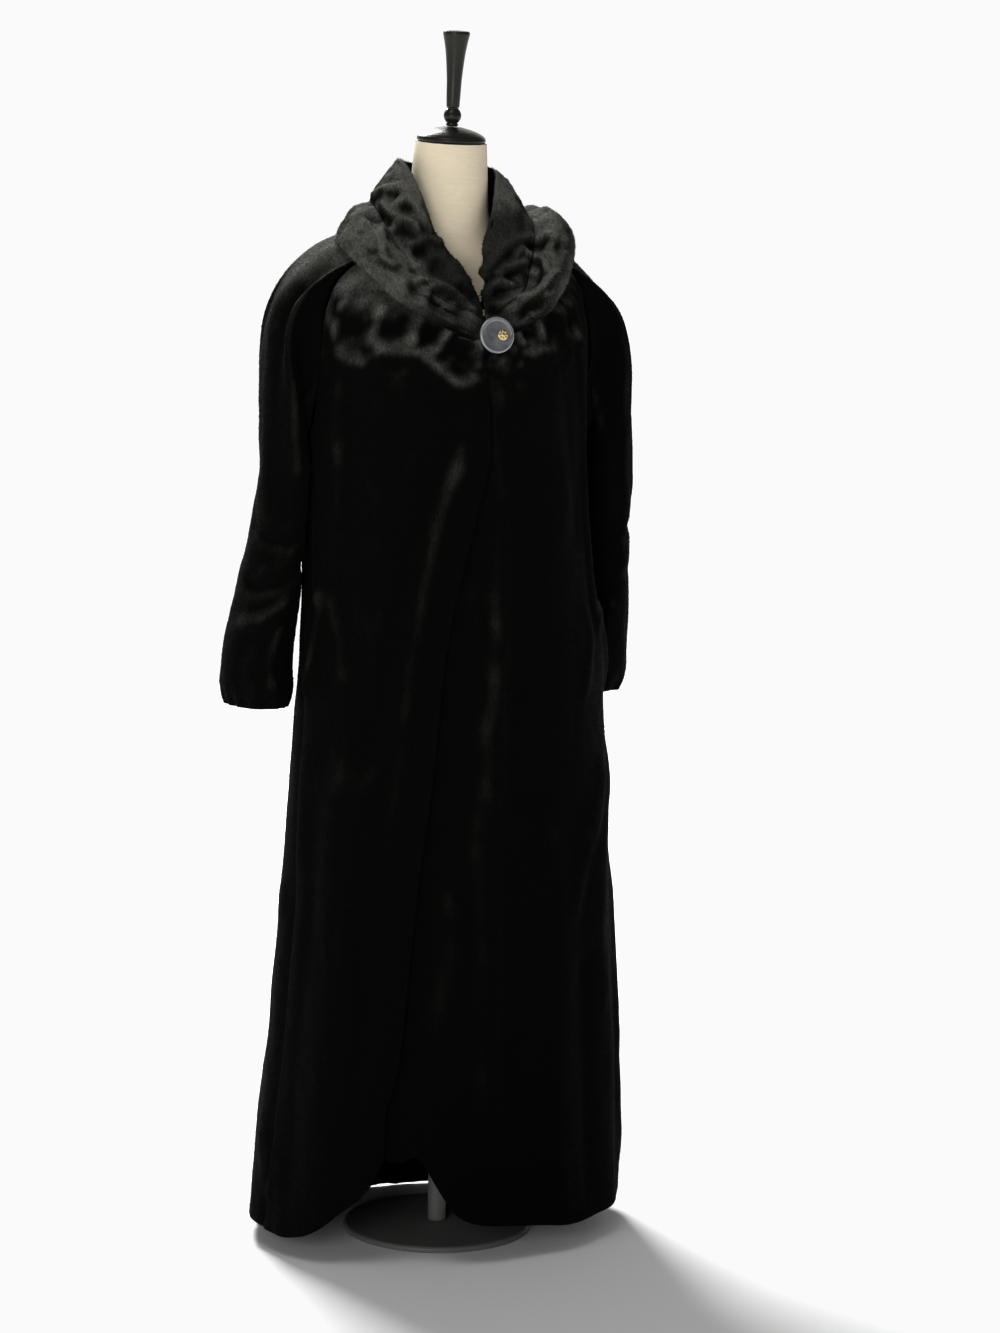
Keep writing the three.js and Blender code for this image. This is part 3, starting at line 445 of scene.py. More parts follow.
# ------------------------------------------------------------------ hood
HOOD_COLUMNS = ("seam", "ridge", "strip", "groove", "roll", "edge", "belly", "bottom")
HOOD_GROOVE = 3 / 7


def catmull_weights(n, t):
    x = np.clip(t * (n - 1), 0, n - 1 - 1e-9)
    i = np.floor(x).astype(int)
    f = x - i
    f2, f3 = f * f, f * f * f
    w = np.stack([-0.5 * f3 + f2 - 0.5 * f, 1.5 * f3 - 2.5 * f2 + 1, -1.5 * f3 + 2 * f2 + 0.5 * f, 0.5 * f3 - 0.5 * f2], -1)
    return i, w


def catmull(points, t):
    """points (n, ..., 3) padded by one mirrored point at each end; t any shape -> t.shape + rest."""
    pad = np.concatenate([2 * points[:1] - points[1:2], points, 2 * points[-1:] - points[-2:-1]])
    i, w = catmull_weights(len(points), t)
    return sum(w[..., k].reshape(w.shape[:-1] + (1,) * (points.ndim - 1)) * pad[i + k] for k in range(4))


def hood_rows(tab):
    rows = []
    for k in range(len(tab["angle"])):
        seam = body_point(tab["angle"][k], NECK_LEVEL, -WALL) + np.array([0, 0, WALL + 3])
        rows.append([seam] + [np.array(tab[c][k], float) for c in HOOD_COLUMNS[1:]])
    rows = np.array(rows, float)
    return np.concatenate([rows, rows[-2:-1] * np.array([-1, 1, 1])])


def hood(tab, us, vs):
    """Grid (u, v): u from the button (0) to the centre back (1), v from the neck seam (0) to the bottom edge (1)."""
    rows = hood_rows(tab)
    last = len(rows) - 2
    lines = catmull(rows, us * last / (last + 1))          # (nu, columns, 3)
    return catmull(np.swapaxes(lines, 0, 1), vs).swapaxes(0, 1)  # (nu, nv, 3)


# ------------------------------------------------------------------ creases and gathers
# Creases of the body. path: (angle, height) points; width, height in mm; lean > 0 makes
# the side of larger angle the gentle one; ends is the fade at each end, mm.
CREASES = table("name path width height lean ends", [
    ("under_front_ridge", ((1, 1182), (5, 1140), (5, 1090), (7, 1039), (5.6, 991), (3, 927), (1, 885), (1.6, 843), (-1.5, 744), (-4, 654), (-7, 558), (-5, 480), (-4, 330), (-3, 150)), 15, 3.2, 0.3, 60),
    ("under_front_hollow", ((12, 1100), (14, 990), (10, 870), (8, 720), (3, 560), (4, 400), (5, 240)), 20, -4, 0, 90),
    ("upper_front_ridge", ((-10.5, 1085), (-19, 991), (-25.5, 903), (-30.5, 804), (-33, 700), (-35, 600)), 15, 5, 0.3, 70),
    ("upper_front_hollow", ((-16, 1100), (-26, 1000), (-34, 900), (-39, 790), (-43, 680)), 20, -4, 0, 80),
    ("hip_left", ((60, 668), (52, 612), (41.5, 560), (34.5, 501), (30, 440)), 17, 6, -0.3, 45),
    ("hip_left_hollow", ((50, 540), (44, 470), (40, 380)), 20, -4, 0, 50),
    ("chest_left_ridge", ((47, 1262), (50, 1215), (55, 1170), (62, 1100), (61, 1040), (60, 980), (60, 900), (62, 830)), 13, 6, 0.35, 50),
    ("chest_left_hollow", ((40, 1190), (44, 1120), (48, 1040), (47, 950)), 18, -4, 0, 60),
    ("chest_right_streak", ((-62, 1185), (-66, 1110), (-64, 1060), (-66, 980)), 12, 3, 0, 40),
    ("chest_right_hollow", ((-54, 1180), (-57, 1080), (-58, 960), (-60, 850)), 18, -3, 0, 60),
    ("pocket_right_welt", ((-80, 900), (-74, 872), (-77.5, 819), (-81, 752)), 8, 4, 0.3, 25),
    ("pocket_right_pull", ((-79, 905), (-68, 880), (-62, 830), (-60, 770)), 12, 3, 0, 40),
    ("pocket_left_welt", ((61, 880), (70, 840), (76, 800), (78, 748)), 8, 4, -0.3, 25),
    ("pocket_left_pull", ((48, 884), (53, 832), (47, 790), (43, 750)), 11, 3.5, 0, 30),
    ("skirt_right_a", ((-58, 700), (-60, 560), (-57, 380), (-58, 160)), 20, 5, 0, 90),
    ("skirt_right_b", ((-74, 640), (-70, 480), (-72, 300), (-70, 60)), 20, -5, 0, 90),
    ("skirt_right_c", ((-46, 520), (-43, 350), (-44, 150)), 17, -4, 0, 70),
    ("skirt_left_a", ((24, 620), (26, 420), (25, 200), (26, 40)), 20, 5, 0, 90),
    ("skirt_left_b", ((37, 420), (38, 260), (38, 60)), 16, -5, 0, 70),
    ("skirt_left_c", ((70, 520), (68, 330), (70, 80)), 18, 5, 0, 80),
    ("skirt_left_d", ((60, 400), (61, 240), (60, 60)), 15, -4, 0, 70),
    ("hem_left_lift", ((-94, 170), (-88, 118), (-82, 70)), 12, 4, 0, 20),
    ("centre_low", ((-17, 520), (-14, 470), (-16, 400), (-20, 300)), 14, 4, 0, 50),
    ("back_a", ((120, 1120), (128, 980), (124, 800), (127, 560), (126, 300)), 18, 5, 0.2, 90),
    ("back_b", ((146, 1060), (150, 880), (147, 660), (150, 400), (149, 120)), 19, 5, 0, 90),
    ("back_c", ((166, 1130), (168, 960), (165, 760), (168, 520), (167, 200)), 17, -5, 0, 90),
    ("back_d", ((190, 1100), (193, 930), (190, 720), (194, 460), (192, 120)), 18, 5, 0, 90),
    ("back_e", ((212, 1080), (209, 900), (213, 680), (211, 420), (214, 150)), 17, -5, 0, 90),
    ("back_f", ((236, 1110), (232, 940), (236, 740), (233, 500), (238, 220)), 19, 5, -0.2, 90),
    ("back_g", ((252, 900), (254, 720), (251, 500), (253, 240)), 17, -4, 0, 80),
    ("back_h", ((108, 820), (106, 640), (110, 420), (108, 180)), 17, -4, 0, 80),
])

# Where the fronts are gathered into the collar seam: the lower ledge of the gathers.
LEDGES = table("name path width height lean ends", [
    ("ledge_right_a", ((-66, 1218), (-58, 1206), (-50, 1203), (-44, 1211), (-38, 1221)), 11, 6.5, 0, 14),
    ("ledge_right_b", ((-38, 1219), (-30, 1214), (-26, 1212), (-22, 1200), (-17, 1187), (-12, 1176), (-7, 1178), (-4, 1190)), 10, 7, 0, 12),
    ("ledge_left", ((15, 1216), (21, 1212), (28, 1218), (34, 1222)), 10, 5, 0, 12),
    ("tuck_right_a", ((-63, 1284), (-66, 1256), (-64, 1228)), 9, 6, 0, 14),
    ("tuck_right_b", ((-46, 1282), (-45, 1250), (-46, 1218)), 10, 7, 0, 12),
    ("tuck_right_c", ((-29, 1272), (-29, 1244), (-30, 1220)), 9, 6, 0, 12),
    ("tuck_right_d", ((-14, 1252), (-18, 1232), (-21, 1212)), 8, 6, 0, 10),
    ("tuck_right_e", ((-3.5, 1236), (-3, 1214), (-4, 1192)), 8, 5, 0, 10),
    ("tuck_left_a", ((14, 1262), (16, 1240), (17, 1222)), 8, 5, 0, 10),
    ("tuck_left_b", ((26, 1270), (27, 1246), (27, 1226)), 9, 6, 0, 10),
    ("tuck_left_c", ((40, 1278), (41, 1250), (43, 1226)), 10, 6, 0, 12),
])
# Small hollows between the gathers: centre, radii across and along, depth.
HOLLOWS = table("name angle z across along depth", [
    ("r1", -56, 1243, 15, 17, -8), ("r2", -37.5, 1242, 14, 15, -8), ("r3", -22, 1236, 10, 12, -7),
    ("r4", -9.5, 1203, 17, 22, -8), ("r5", -67, 1262, 9, 16, -5), ("l1", 20, 1240, 8, 9, -5),
    ("l2", 33, 1246, 11, 12, -6), ("l3", 46, 1252, 10, 14, -5), ("l4", 24, 1256, 6, 7, -4),
])


def mm_per_degree(z):
    a = along(BODY, "level", z, "halfWidth")
    b = (along(BODY, "level", z, "front") + along(BODY, "level", z, "back")) / 2
    return np.radians(1.0) * (a + b) / 2


def crease(s, z, path, width, height, lean, ends):
    """Height of one soft ridge (or trough) that follows a path of (s, z) points, all mm."""
    pts = np.asarray(path, float)
    seg = np.diff(pts, axis=0)
    length = np.hypot(seg[:, 0], seg[:, 1])
    run = np.concatenate([[0], np.cumsum(length)])
    best = np.full(s.shape, 1e9)
    side = np.zeros(s.shape)
    at = np.zeros(s.shape)
    lo, hi = pts.min(0) - 3.5 * width, pts.max(0) + 3.5 * width
    near = (s > lo[0]) & (s < hi[0]) & (z > lo[1]) & (z < hi[1])
    if not near.any():
        return np.zeros(s.shape)
    sn, zn = s[near], z[near]
    b, sd, an = np.full(sn.shape, 1e9), np.zeros(sn.shape), np.zeros(sn.shape)
    for k in range(len(seg)):
        dx, dz = sn - pts[k, 0], zn - pts[k, 1]
        t = np.clip((dx * seg[k, 0] + dz * seg[k, 1]) / length[k] ** 2, 0, 1)
        ex, ez = dx - t * seg[k, 0], dz - t * seg[k, 1]
        d = np.hypot(ex, ez)
        m = d < b
        b, sd, an = np.where(m, d, b), np.where(m, np.sign(ex), sd), np.where(m, run[k] + t * length[k], an)
    best[near], side[near], at[near] = b, sd, an
    w = width * (1 + lean * side)
    fade = smooth(0, ends, at + 0.35 * ends) * smooth(0, ends, run[-1] - at + 0.35 * ends)
    return height * np.exp(-(best / w) ** 2) * fade


def crease_sum(angle, z, tab, keep=None):
    k = mm_per_degree(z)
    total = np.zeros(angle.shape)
    for i in range(len(tab["name"])):
        path = np.array(tab["path"][i], float)
        mid = path[:, 0].mean()
        rel = (angle - mid + 180) % 360 - 180
        pts = np.stack([(path[:, 0] - mid) * mm_per_degree(path[:, 1]), path[:, 1]], -1)
        total = total + crease(rel * k, z, pts, tab["width"][i], tab["height"][i], tab["lean"][i], tab["ends"][i])
    return total


def hollow_sum(angle, z):
    k = mm_per_degree(z)
    total = np.zeros(angle.shape)
    for i in range(len(HOLLOWS["name"])):
        ds = ((angle - HOLLOWS["angle"][i] + 180) % 360 - 180) * k / HOLLOWS["across"][i]
        dz = (z - HOLLOWS["z"][i]) / HOLLOWS["along"][i]
        total = total + HOLLOWS["depth"][i] * np.exp(-(ds ** 2 + dz ** 2))
    return total


def body_detail(angle, level, p):
    """Everything finer than the panel's own form, mm outwards."""
    z = p[..., 2]
    h = crease_sum(angle, z, CREASES)
    yoke = smooth(1165.0, 1200.0, z)
    h = h + crease_sum(angle, z, LEDGES) + hollow_sum(angle, z)
    drape = p * np.array([1 / 62.0, 1 / 62.0, 1 / 250.0])
    h = h + 2.6 * fbm(drape, 1.0, seed=3, octaves=2) * (1 - 0.5 * yoke)
    h = h + 1.5 * fbm(p * np.array([1 / 26.0, 1 / 26.0, 1 / 60.0]), 1.0, seed=11, octaves=2)
    h = h + yoke * (2.4 * fbm(p, 24.0, seed=13, octaves=3) + 1.2 * fbm(p, 10.0, seed=14, octaves=2))
    return h


# Sleeve creases: path (share round the sleeve, height); 0 is at the body, 0.25 the front, 0.5 outside, 0.75 the back.
SLEEVE_CREASES_RIGHT = table("name path width height lean ends", [
    ("front_ridge", ((0.36, 1300), (0.33, 1240), (0.30, 1170), (0.31, 1100), (0.30, 1040)), 12, 5, 0.3, 40),
    ("front_hollow", ((0.26, 1240), (0.23, 1150), (0.22, 1060)), 16, -5, 0, 50),
    ("outer_ridge", ((0.50, 1310), (0.47, 1220), (0.45, 1130), (0.47, 1040), (0.44, 960)), 14, 4, 0, 50),
    ("elbow_a", ((0.20, 985), (0.30, 965), (0.42, 972), (0.52, 990)), 10, -4, 0, 30),
    ("elbow_b", ((0.16, 940), (0.28, 915), (0.40, 905), (0.50, 912)), 11, -5, 0, 30),
    ("elbow_c", ((0.22, 890), (0.34, 862), (0.46, 852)), 12, 5, 0, 30),
    ("lower_a", ((0.24, 860), (0.27, 800), (0.25, 756)), 11, 5, 0.2, 25),
    ("lower_b", ((0.38, 850), (0.41, 800), (0.39, 756)), 12, -4, 0, 25),
    ("back_a", ((0.70, 1240), (0.73, 1130), (0.70, 1020), (0.74, 900)), 15, 5, 0, 60),
    ("back_b", ((0.62, 1180), (0.60, 1060), (0.63, 940), (0.60, 820)), 14, -4, 0, 60),
    ("back_c", ((0.82, 1100), (0.80, 960), (0.84, 830)), 13, 4, 0, 50),
])
SLEEVE_CREASES_LEFT = table("name path width height lean ends", [
    ("front_ridge_a", ((0.30, 1325), (0.24, 1285), (0.20, 1240), (0.17, 1190), (0.17, 1130)), 11, 6, 0.3, 35),
    ("front_hollow_a", ((0.33, 1290), (0.27, 1230), (0.24, 1170), (0.23, 1110)), 10, -5, 0, 40),
    ("front_ridge_b", ((0.37, 1290), (0.33, 1230), (0.31, 1160), (0.31, 1080), (0.32, 1000), (0.29, 900)), 11, 6, 0.3, 40),
    ("front_ridge_c", ((0.44, 1180), (0.42, 1100), (0.41, 1010)), 11, 4, 0, 40),
    ("outer_hollow", ((0.48, 1260), (0.47, 1160), (0.48, 1040)), 14, -4, 0, 50),
    ("elbow_a", ((0.16, 990), (0.28, 968), (0.40, 975), (0.50, 992)), 10, -4, 0, 30),
    ("elbow_b", ((0.18, 930), (0.30, 905), (0.42, 912)), 11, -4, 0, 30),
    ("lower_a", ((0.25, 880), (0.22, 820), (0.24, 758)), 11, 5, 0.2, 25),
    ("lower_b", ((0.36, 860), (0.39, 800), (0.37, 756)), 12, -4, 0, 25),
    ("back_a", ((0.68, 1230), (0.72, 1120), (0.69, 1000), (0.73, 880)), 15, 5, 0, 60),
    ("back_b", ((0.60, 1160), (0.58, 1040), (0.61, 920), (0.58, 800)), 14, -4, 0, 60),
    ("back_c", ((0.84, 1080), (0.81, 950), (0.85, 820)), 13, 4, 0, 50),
])


def sleeve_detail(f, p, tab):
    z = p[..., 2]
    round_mm = 350.0
    total = np.zeros(f.shape)
    for i in range(len(tab["name"])):
        path = np.array(tab["path"][i], float)
        mid = path[:, 0].mean()
        rel = ((f - mid + 0.5) % 1.0 - 0.5) * round_mm
        pts = np.stack([(path[:, 0] - mid) * round_mm, path[:, 1]], -1)
        total = total + crease(rel, z, pts, tab["width"][i], tab["height"][i], tab["lean"][i], tab["ends"][i])
    total = total + 2.2 * fbm(p * np.array([1 / 50.0, 1 / 50.0, 1 / 170.0]), 1.0, seed=23, octaves=2)
    total = total + 1.2 * fbm(p * np.array([1 / 24.0, 1 / 24.0, 1 / 50.0]), 1.0, seed=29, octaves=2)
    near_body = 0.5 + 0.5 * np.cos(2 * np.pi * f)                 # 1 on the side that faces the body
    room = mix(9.0, 1.5, near_body ** 2 * (1 - smooth(1060.0, 1120.0, z)))
    return np.where(total > 0, np.minimum(total, room), total)


# Folds of the gathered hood edge: paths of (x, y, z) points along the lit ridges, mm.
RIDGES_RIGHT = table("name path width height", [
    ("edge_top", ((-79, -53, 1420), (-73, -63, 1408), (-63, -70, 1394), (-56, -78, 1374)), 6.0, 4),
    ("arch", ((-117, -66, 1377), (-102, -65, 1385), (-90, -69, 1390), (-80, -76, 1383), (-77, -81, 1374)), 7.0, 8),
    ("brow", ((-89, -88, 1359), (-74, -86, 1365), (-59, -85, 1365), (-48, -85, 1361)), 6.0, 7),
    ("drop", ((-121, -71, 1373), (-130, -91, 1357), (-130, -105, 1340), (-122, -116, 1331)), 6.5, 5),
    ("long", ((-88, -121, 1312), (-65, -119, 1309), (-47, -122, 1301), (-32, -125, 1289), (-17, -129, 1274)), 6.0, 7),
    ("lower", ((-118, -132, 1298), (-108, -137, 1287), (-91, -142, 1274), (-73, -146, 1264), (-51, -148, 1255)), 6.5, 5),
    ("tie", ((-84, -138, 1294), (-73, -123, 1302), (-61, -121, 1304)), 5.5, 6),
    ("lump", ((-103, 5, 1420), (-97, -12, 1429), (-90, -33, 1429), (-83, -36, 1434)), 7.0, 5),
    ("tie_top", ((-99, -49, 1406), (-92, -52, 1412), (-85, -52, 1417)), 5.2, 5),
    ("tie_mid", ((-106, -31, 1408), (-102, -56, 1396), (-92, -66, 1394)), 6.0, 6),
])
RIDGES_LEFT = table("name path width height", [
    ("arch", ((10, -104, 1319), (17, -102, 1329), (31, -95, 1343), (49, -88, 1358), (65, -83, 1365), (87, -75, 1369), (106, -82, 1369), (113, -94, 1369)), 6.5, 8),
    ("tie_a", ((51, -103, 1333), (62, -94, 1347), (74, -88, 1353)), 5.0, 6),
    ("tie_b", ((30, -109, 1320), (42, -105, 1329), (59, -102, 1334), (71, -101, 1335)), 5.5, 7),
    ("tie_c", ((76, -91, 1349), (87, -96, 1344), (93, -115, 1335), (91, -124, 1323)), 5.5, 7),
    ("low", ((8, -117, 1294), (18, -114, 1307), (31, -114, 1311), (45, -117, 1307)), 6.0, 7),
    ("outer", ((27, -126, 1282), (47, -125, 1289), (67, -131, 1294), (86, -130, 1310), (103, -123, 1324)), 7.5, 7),
])
# Puckers of the hood: centre, radius and depth (- in, + out), mm.
PUCKERS_RIGHT = table("x y z radius depth", [
    (-93, -39, 1421, 6.5, -7), (-85, -63, 1403, 9, -7), (-119, -41, 1392, 12, -11), (-109, -61, 1384, 9, -8),
    (-97, -79, 1369, 15, -6), (-78, -97, 1348, 10, -9), (-82, -85, 1367, 6, -5), (-122, -106, 1344, 10, -7),
    (-118, -119, 1328, 8, -6), (-99, -137, 1301, 12, -9), (-69, -139, 1283, 13, -11), (-38, -138, 1267, 9, -8),
    (-38, -148, 1250, 8, -7), (-53, -142, 1271, 8, -6), (-104, -55, 1380, 7, -4), (-60, -108, 1325, 14, -4),
])
PUCKERS_LEFT = table("x y z radius depth", [
    (92, -85, 1356, 12, -9), (52, -94, 1348, 10, -7), (48, -110, 1321, 12, -9), (71, -119, 1311, 15, -11),
    (81, -105, 1333, 8, -6), (114, -106, 1353, 9, -5), (27, -119, 1299, 12, -9), (13, -111, 1313, 8, -6),
    (54, -140, 1265, 10, -7), (74, -139, 1276, 9, -6), (22, -130, 1268, 9, -6),
])


def ridge_sum(p, tab):
    """Heights of soft ridges along paths in space, for points p near them."""
    total = np.zeros(p.shape[:-1])
    for i in range(len(tab["name"])):
        path = np.array(tab["path"][i], float)
        best = np.full(total.shape, 1e9)
        for a, b in zip(path[:-1], path[1:]):
            t = np.clip(((p - a) @ (b - a)) / np.dot(b - a, b - a), 0, 1)
            best = np.minimum(best, np.linalg.norm(p - a - t[..., None] * (b - a), axis=-1))
        total = np.maximum(total, tab["height"][i] * np.exp(-(best / tab["width"][i]) ** 2))
    return total


def hood_detail(u, v, s, w, p, puckers, ridges, seed):
    """s: mm along the groove from the button; w: mm across from the groove, + outwards over the roll."""
    s = s + np.zeros(w.shape)
    wob = fbm(np.stack([s / 70.0, w * 0 + seed, w / 90.0], -1), 1.0, seed=seed, octaves=2)
    hidden = smooth(0.40, 0.60, u)
    phase = 2 * np.pi * s / 31.0 + 3.4 * wob
    lobes = 1.7 * np.abs(np.sin(phase / 2)) ** 0.8 - 1.0          # wide lobes, narrow tucks
    h = (1.3 + 3.2 * hidden) * lobes * np.exp(-(w / 20.0) ** 2)
    phase2 = 2 * np.pi * (s + 13.0) / 34.0 + 3.4 * wob + 1.3
    second = np.abs(np.sin(phase2 / 2)) ** 0.8 * 2 - 1.2
    h = h + (1.2 + 2.4 * hidden) * second * np.exp(-((w - 33.0) / 14.0) ** 2)
    h = h + (0.8 + 2.2 * hidden) * second * np.exp(-((w + 27.0) / 11.0) ** 2) * smooth(0.10, 0.3, u)
    h = h - (1.2 + 1.8 * hidden) * np.exp(-(w / 6.0) ** 2)
    pleats = np.sin(2 * np.pi * s / 36.0 + 3.0 * wob + 0.8)
    h = h + 2.0 * pleats * smooth(30.0, 60.0, w) * smooth(0.3, 0.6, u)
    for i in range(len(puckers["x"])):
        c = np.array([puckers["x"][i], puckers["y"][i], puckers["z"][i]])
        r = puckers["radius"][i]
        h = h + puckers["depth"][i] * np.exp(-np.sum((p - c) ** 2, -1) / (r * r))
    h = h + ridge_sum(p, ridges)
    h = h + 2.4 * fbm(p, 26.0, seed=seed + 5, octaves=3)
    h = h + 1.3 * fbm(p, 11.0, seed=seed + 8, octaves=2)
    return h


# Where each hood half's front end is caught under the button, one point for each seventh of its width.
CATCH_RIGHT = np.array([(-1.5, -95, 1273), (-1, -119, 1284), (-1, -126, 1274), (-1, -131, 1263), (-1, -134.5, 1252), (-1, -137.5, 1241), (-1, -139.5, 1233), (-1, -139, 1226)])
CATCH_LEFT = np.array([(2.5, -95, 1273), (2, -119, 1284), (3, -126, 1274), (3, -131, 1263), (3, -134.5, 1252), (3, -137.5, 1241), (3, -139.5, 1233), (3, -139, 1226)])


def caught(p, us, vs, catch, reach=0.12):
    """Draws the first part of a hood half in to the button."""
    goal = np.stack([np.interp(vs, np.linspace(0, 1, 8), catch[:, k]) for k in range(3)], -1)
    pull = (np.clip(1 - us / reach, 0, 1) ** 1.7)[:, None, None]
    return p + pull * (goal - p[0])[None]


# ------------------------------------------------------------------ building meshes
def edge_steps(n, length, dense=True):
    """n + 1 even steps from 0 to 1, with two closer ones at each end of a piece `length` mm long."""
    t = list(np.linspace(0, 1, n + 1))
    if dense:
        a, b = 0.7 / length, 2.2 / length
        t = [0, a, b] + t[1:-1] + [1 - b, 1 - a, 1]
    return np.array(t)


def grid_normals(p, loop=False, flip=False):
    if loop:
        du = np.roll(p, -1, 0) - np.roll(p, 1, 0)
    else:
        du = np.gradient(p, axis=0)
    dv = np.gradient(p, axis=1)
    n = unit(np.cross(du, dv))
    return -n if flip else n


def soften(a, times, loop=False):
    """Average a grid with its neighbours."""
    for _ in range(times):
        if loop:
            a = 0.5 * a + 0.25 * (np.roll(a, 1, 0) + np.roll(a, -1, 0))
        else:
            b = np.concatenate([a[:1], a, a[-1:]])
            a = 0.5 * a + 0.25 * (b[:-2] + b[2:])
        b = np.concatenate([a[:, :1], a, a[:, -1:]], 1)
        a = 0.5 * a + 0.25 * (b[:, :-2] + b[:, 2:])
    return a


def new_mesh(name, verts, quads, tris, smooth_shade=True, **attributes):
    """A mesh object from numpy arrays, in metres; attributes are one number for each vertex."""
    mesh = bpy.data.meshes.new(name)
    quads, tris = np.asarray(quads, np.int32).reshape(-1, 4), np.asarray(tris, np.int32).reshape(-1, 3)
    mesh.vertices.add(len(verts))
    mesh.vertices.foreach_set("co", np.asarray(verts, np.float32).ravel())
    corners = np.concatenate([quads.ravel(), tris.ravel()])
    starts = np.concatenate([np.arange(len(quads)) * 4, len(quads) * 4 + np.arange(len(tris)) * 3])
    mesh.loops.add(len(corners))
    mesh.loops.foreach_set("vertex_index", corners)
    mesh.polygons.add(len(starts))
    mesh.polygons.foreach_set("loop_start", starts.astype(np.int32))
    mesh.update(calc_edges=True)
    mesh.polygons.foreach_set("use_smooth", np.full(len(starts), smooth_shade))
    for key, values in attributes.items():
        mesh.attributes.new(key, "FLOAT", "POINT").data.foreach_set("value", np.asarray(values, np.float32).ravel())
    mesh.validate()
    obj = bpy.data.objects.new(name, mesh)
    bpy.context.scene.collection.objects.link(obj)
    return obj


RIM = 2.1                     # how far a rim is rounded over, mm


def sheet_mesh(name, outer, normal, thickness, loop=False, flip=False, extra=None, **attributes):
    """A thin shell: the outer grid, an inner grid at half its density, and rims between them."""
    nu, nv = outer.shape[:2]
    pick_u = np.arange(0, nu, 2) if loop or nu % 2 else np.append(np.arange(0, nu, 2), nu - 1)
    pick_v = np.arange(0, nv, 2)
    body = soften(outer, 2, loop)
    inner_all = body - soften(normal, 3, loop) * thickness
    edge = np.zeros((nu, nv))
    # rims: both skins curl towards each other
    def curl(d):
        d = np.clip(d, 0, RIM)
        return RIM - np.sqrt(np.maximum(RIM ** 2 - (RIM - d) ** 2, 0))
    dv = np.linalg.norm(np.diff(outer, axis=1), axis=-1)
    along_v = np.concatenate([np.zeros((nu, 1)), np.cumsum(dv, 1)], 1)
    edge = np.maximum(curl(along_v), curl(along_v[:, -1:] - along_v))
    if not loop:
        du = np.linalg.norm(np.diff(outer, axis=0), axis=-1)
        along_u = np.concatenate([np.zeros((1, nv)), np.cumsum(du, 0)], 0)
        edge = np.maximum(edge, np.maximum(curl(along_u), curl(along_u[-1:] - along_u)))
    outer = outer - normal * edge[..., None]
    # the inner skin meets the rim of the outer one, not its smoothed copy
    on_rim = (edge > 0.3)[..., None]
    inner_all = np.where(on_rim, outer + normal * edge[..., None] - normal * thickness, inner_all) + normal * edge[..., None]
    inner = inner_all[np.ix_(pick_u, pick_v)]
    verts = np.concatenate([outer.reshape(-1, 3), inner.reshape(-1, 3)]) / 1000.0
    mu, mv = len(pick_u), len(pick_v)
    oid = np.arange(nu * nv).reshape(nu, nv)
    iid = nu * nv + np.arange(mu * mv).reshape(mu, mv)

    def quads_of(ids, reverse):
        a = ids if not loop else np.concatenate([ids, ids[:1]])
        q = np.stack([a[:-1, :-1], a[1:, :-1], a[1:, 1:], a[:-1, 1:]], -1).reshape(-1, 4)
        return q[:, ::-1] if reverse else q
    quads = np.concatenate([quads_of(oid, flip), quads_of(iid, not flip)])
    tris = []

    def rim(o, i, picks, reverse):
        """o: outer ids along an edge; i: the inner ids; picks: places of the inner ids along the edge."""
        for k in range(len(i) - 1):
            a, b = picks[k], picks[k + 1]
            mid = (a + b) // 2
            if b - a == 1:
                t = [(o[a], o[b], i[k + 1]), (o[a], i[k + 1], i[k])]
            else:
                t = [(o[a], o[mid], i[k]), (o[mid], i[k + 1], i[k]), (o[mid], o[b], i[k + 1])]
            for q in t:
                tris.append(q[::-1] if reverse else q)
    ou, iu, pu = (oid, iid, pick_u)
    if loop:
        ou, iu = np.concatenate([oid, oid[:1]]), np.concatenate([iid, iid[:1]])
        pu = np.append(pick_u, nu)
    rim(ou[:, 0], iu[:, 0], pu, not flip)
    rim(ou[:, -1], iu[:, -1], pu, flip)
    if not loop:
        rim(oid[0, :], iid[0, :], pick_v, flip)
        rim(oid[-1, :], iid[-1, :], pick_v, not flip)
    full = {}
    for key, values in attributes.items():
        # the inner skin gets only 0.15 of the painted sheen
        full[key] = np.concatenate([values.ravel(), values[np.ix_(pick_u, pick_v)].ravel() * (0.15 if key == "nap" else 1.0)])
    return new_mesh(name, verts, quads, tris, **full)


# ------------------------------------------------------------------ painted sheen and shade
LIGHT_SIDE = unit(np.array([-0.16, -0.22, 0.96]))


def proud(d, times, loop=False):
    """How far a relief d stands out from its surroundings, -1 to 1."""
    return np.clip((d - soften(d[..., None], times, loop)[..., 0]) / 2.6, -1, 1)


def nap_of(normal, p, seed, gain=1.0, ridge=0.0, mottle=0.08, side=LIGHT_SIDE):
    """Painted sheen and shade, 0 to 1: 0 paints flat black, 1 a grey sheen. Faces turned towards the light direction
    side, and raised folds through ridge, are painted lighter; the blotch and streak noise add random mottle.
    """
    up = normal @ side
    blotch = fbm(p, 24.0, seed=seed, octaves=4)
    streak = fbm(p * np.array([1 / 9.0, 1 / 9.0, 1 / 40.0]), 1.0, seed=seed + 3, octaves=2)
    x = up + mottle * blotch + 0.04 * streak + ridge
    return np.clip(gain * smooth(0.34, 0.96, x) ** 1.3 * (1 + 0.18 * streak), 0, 1)


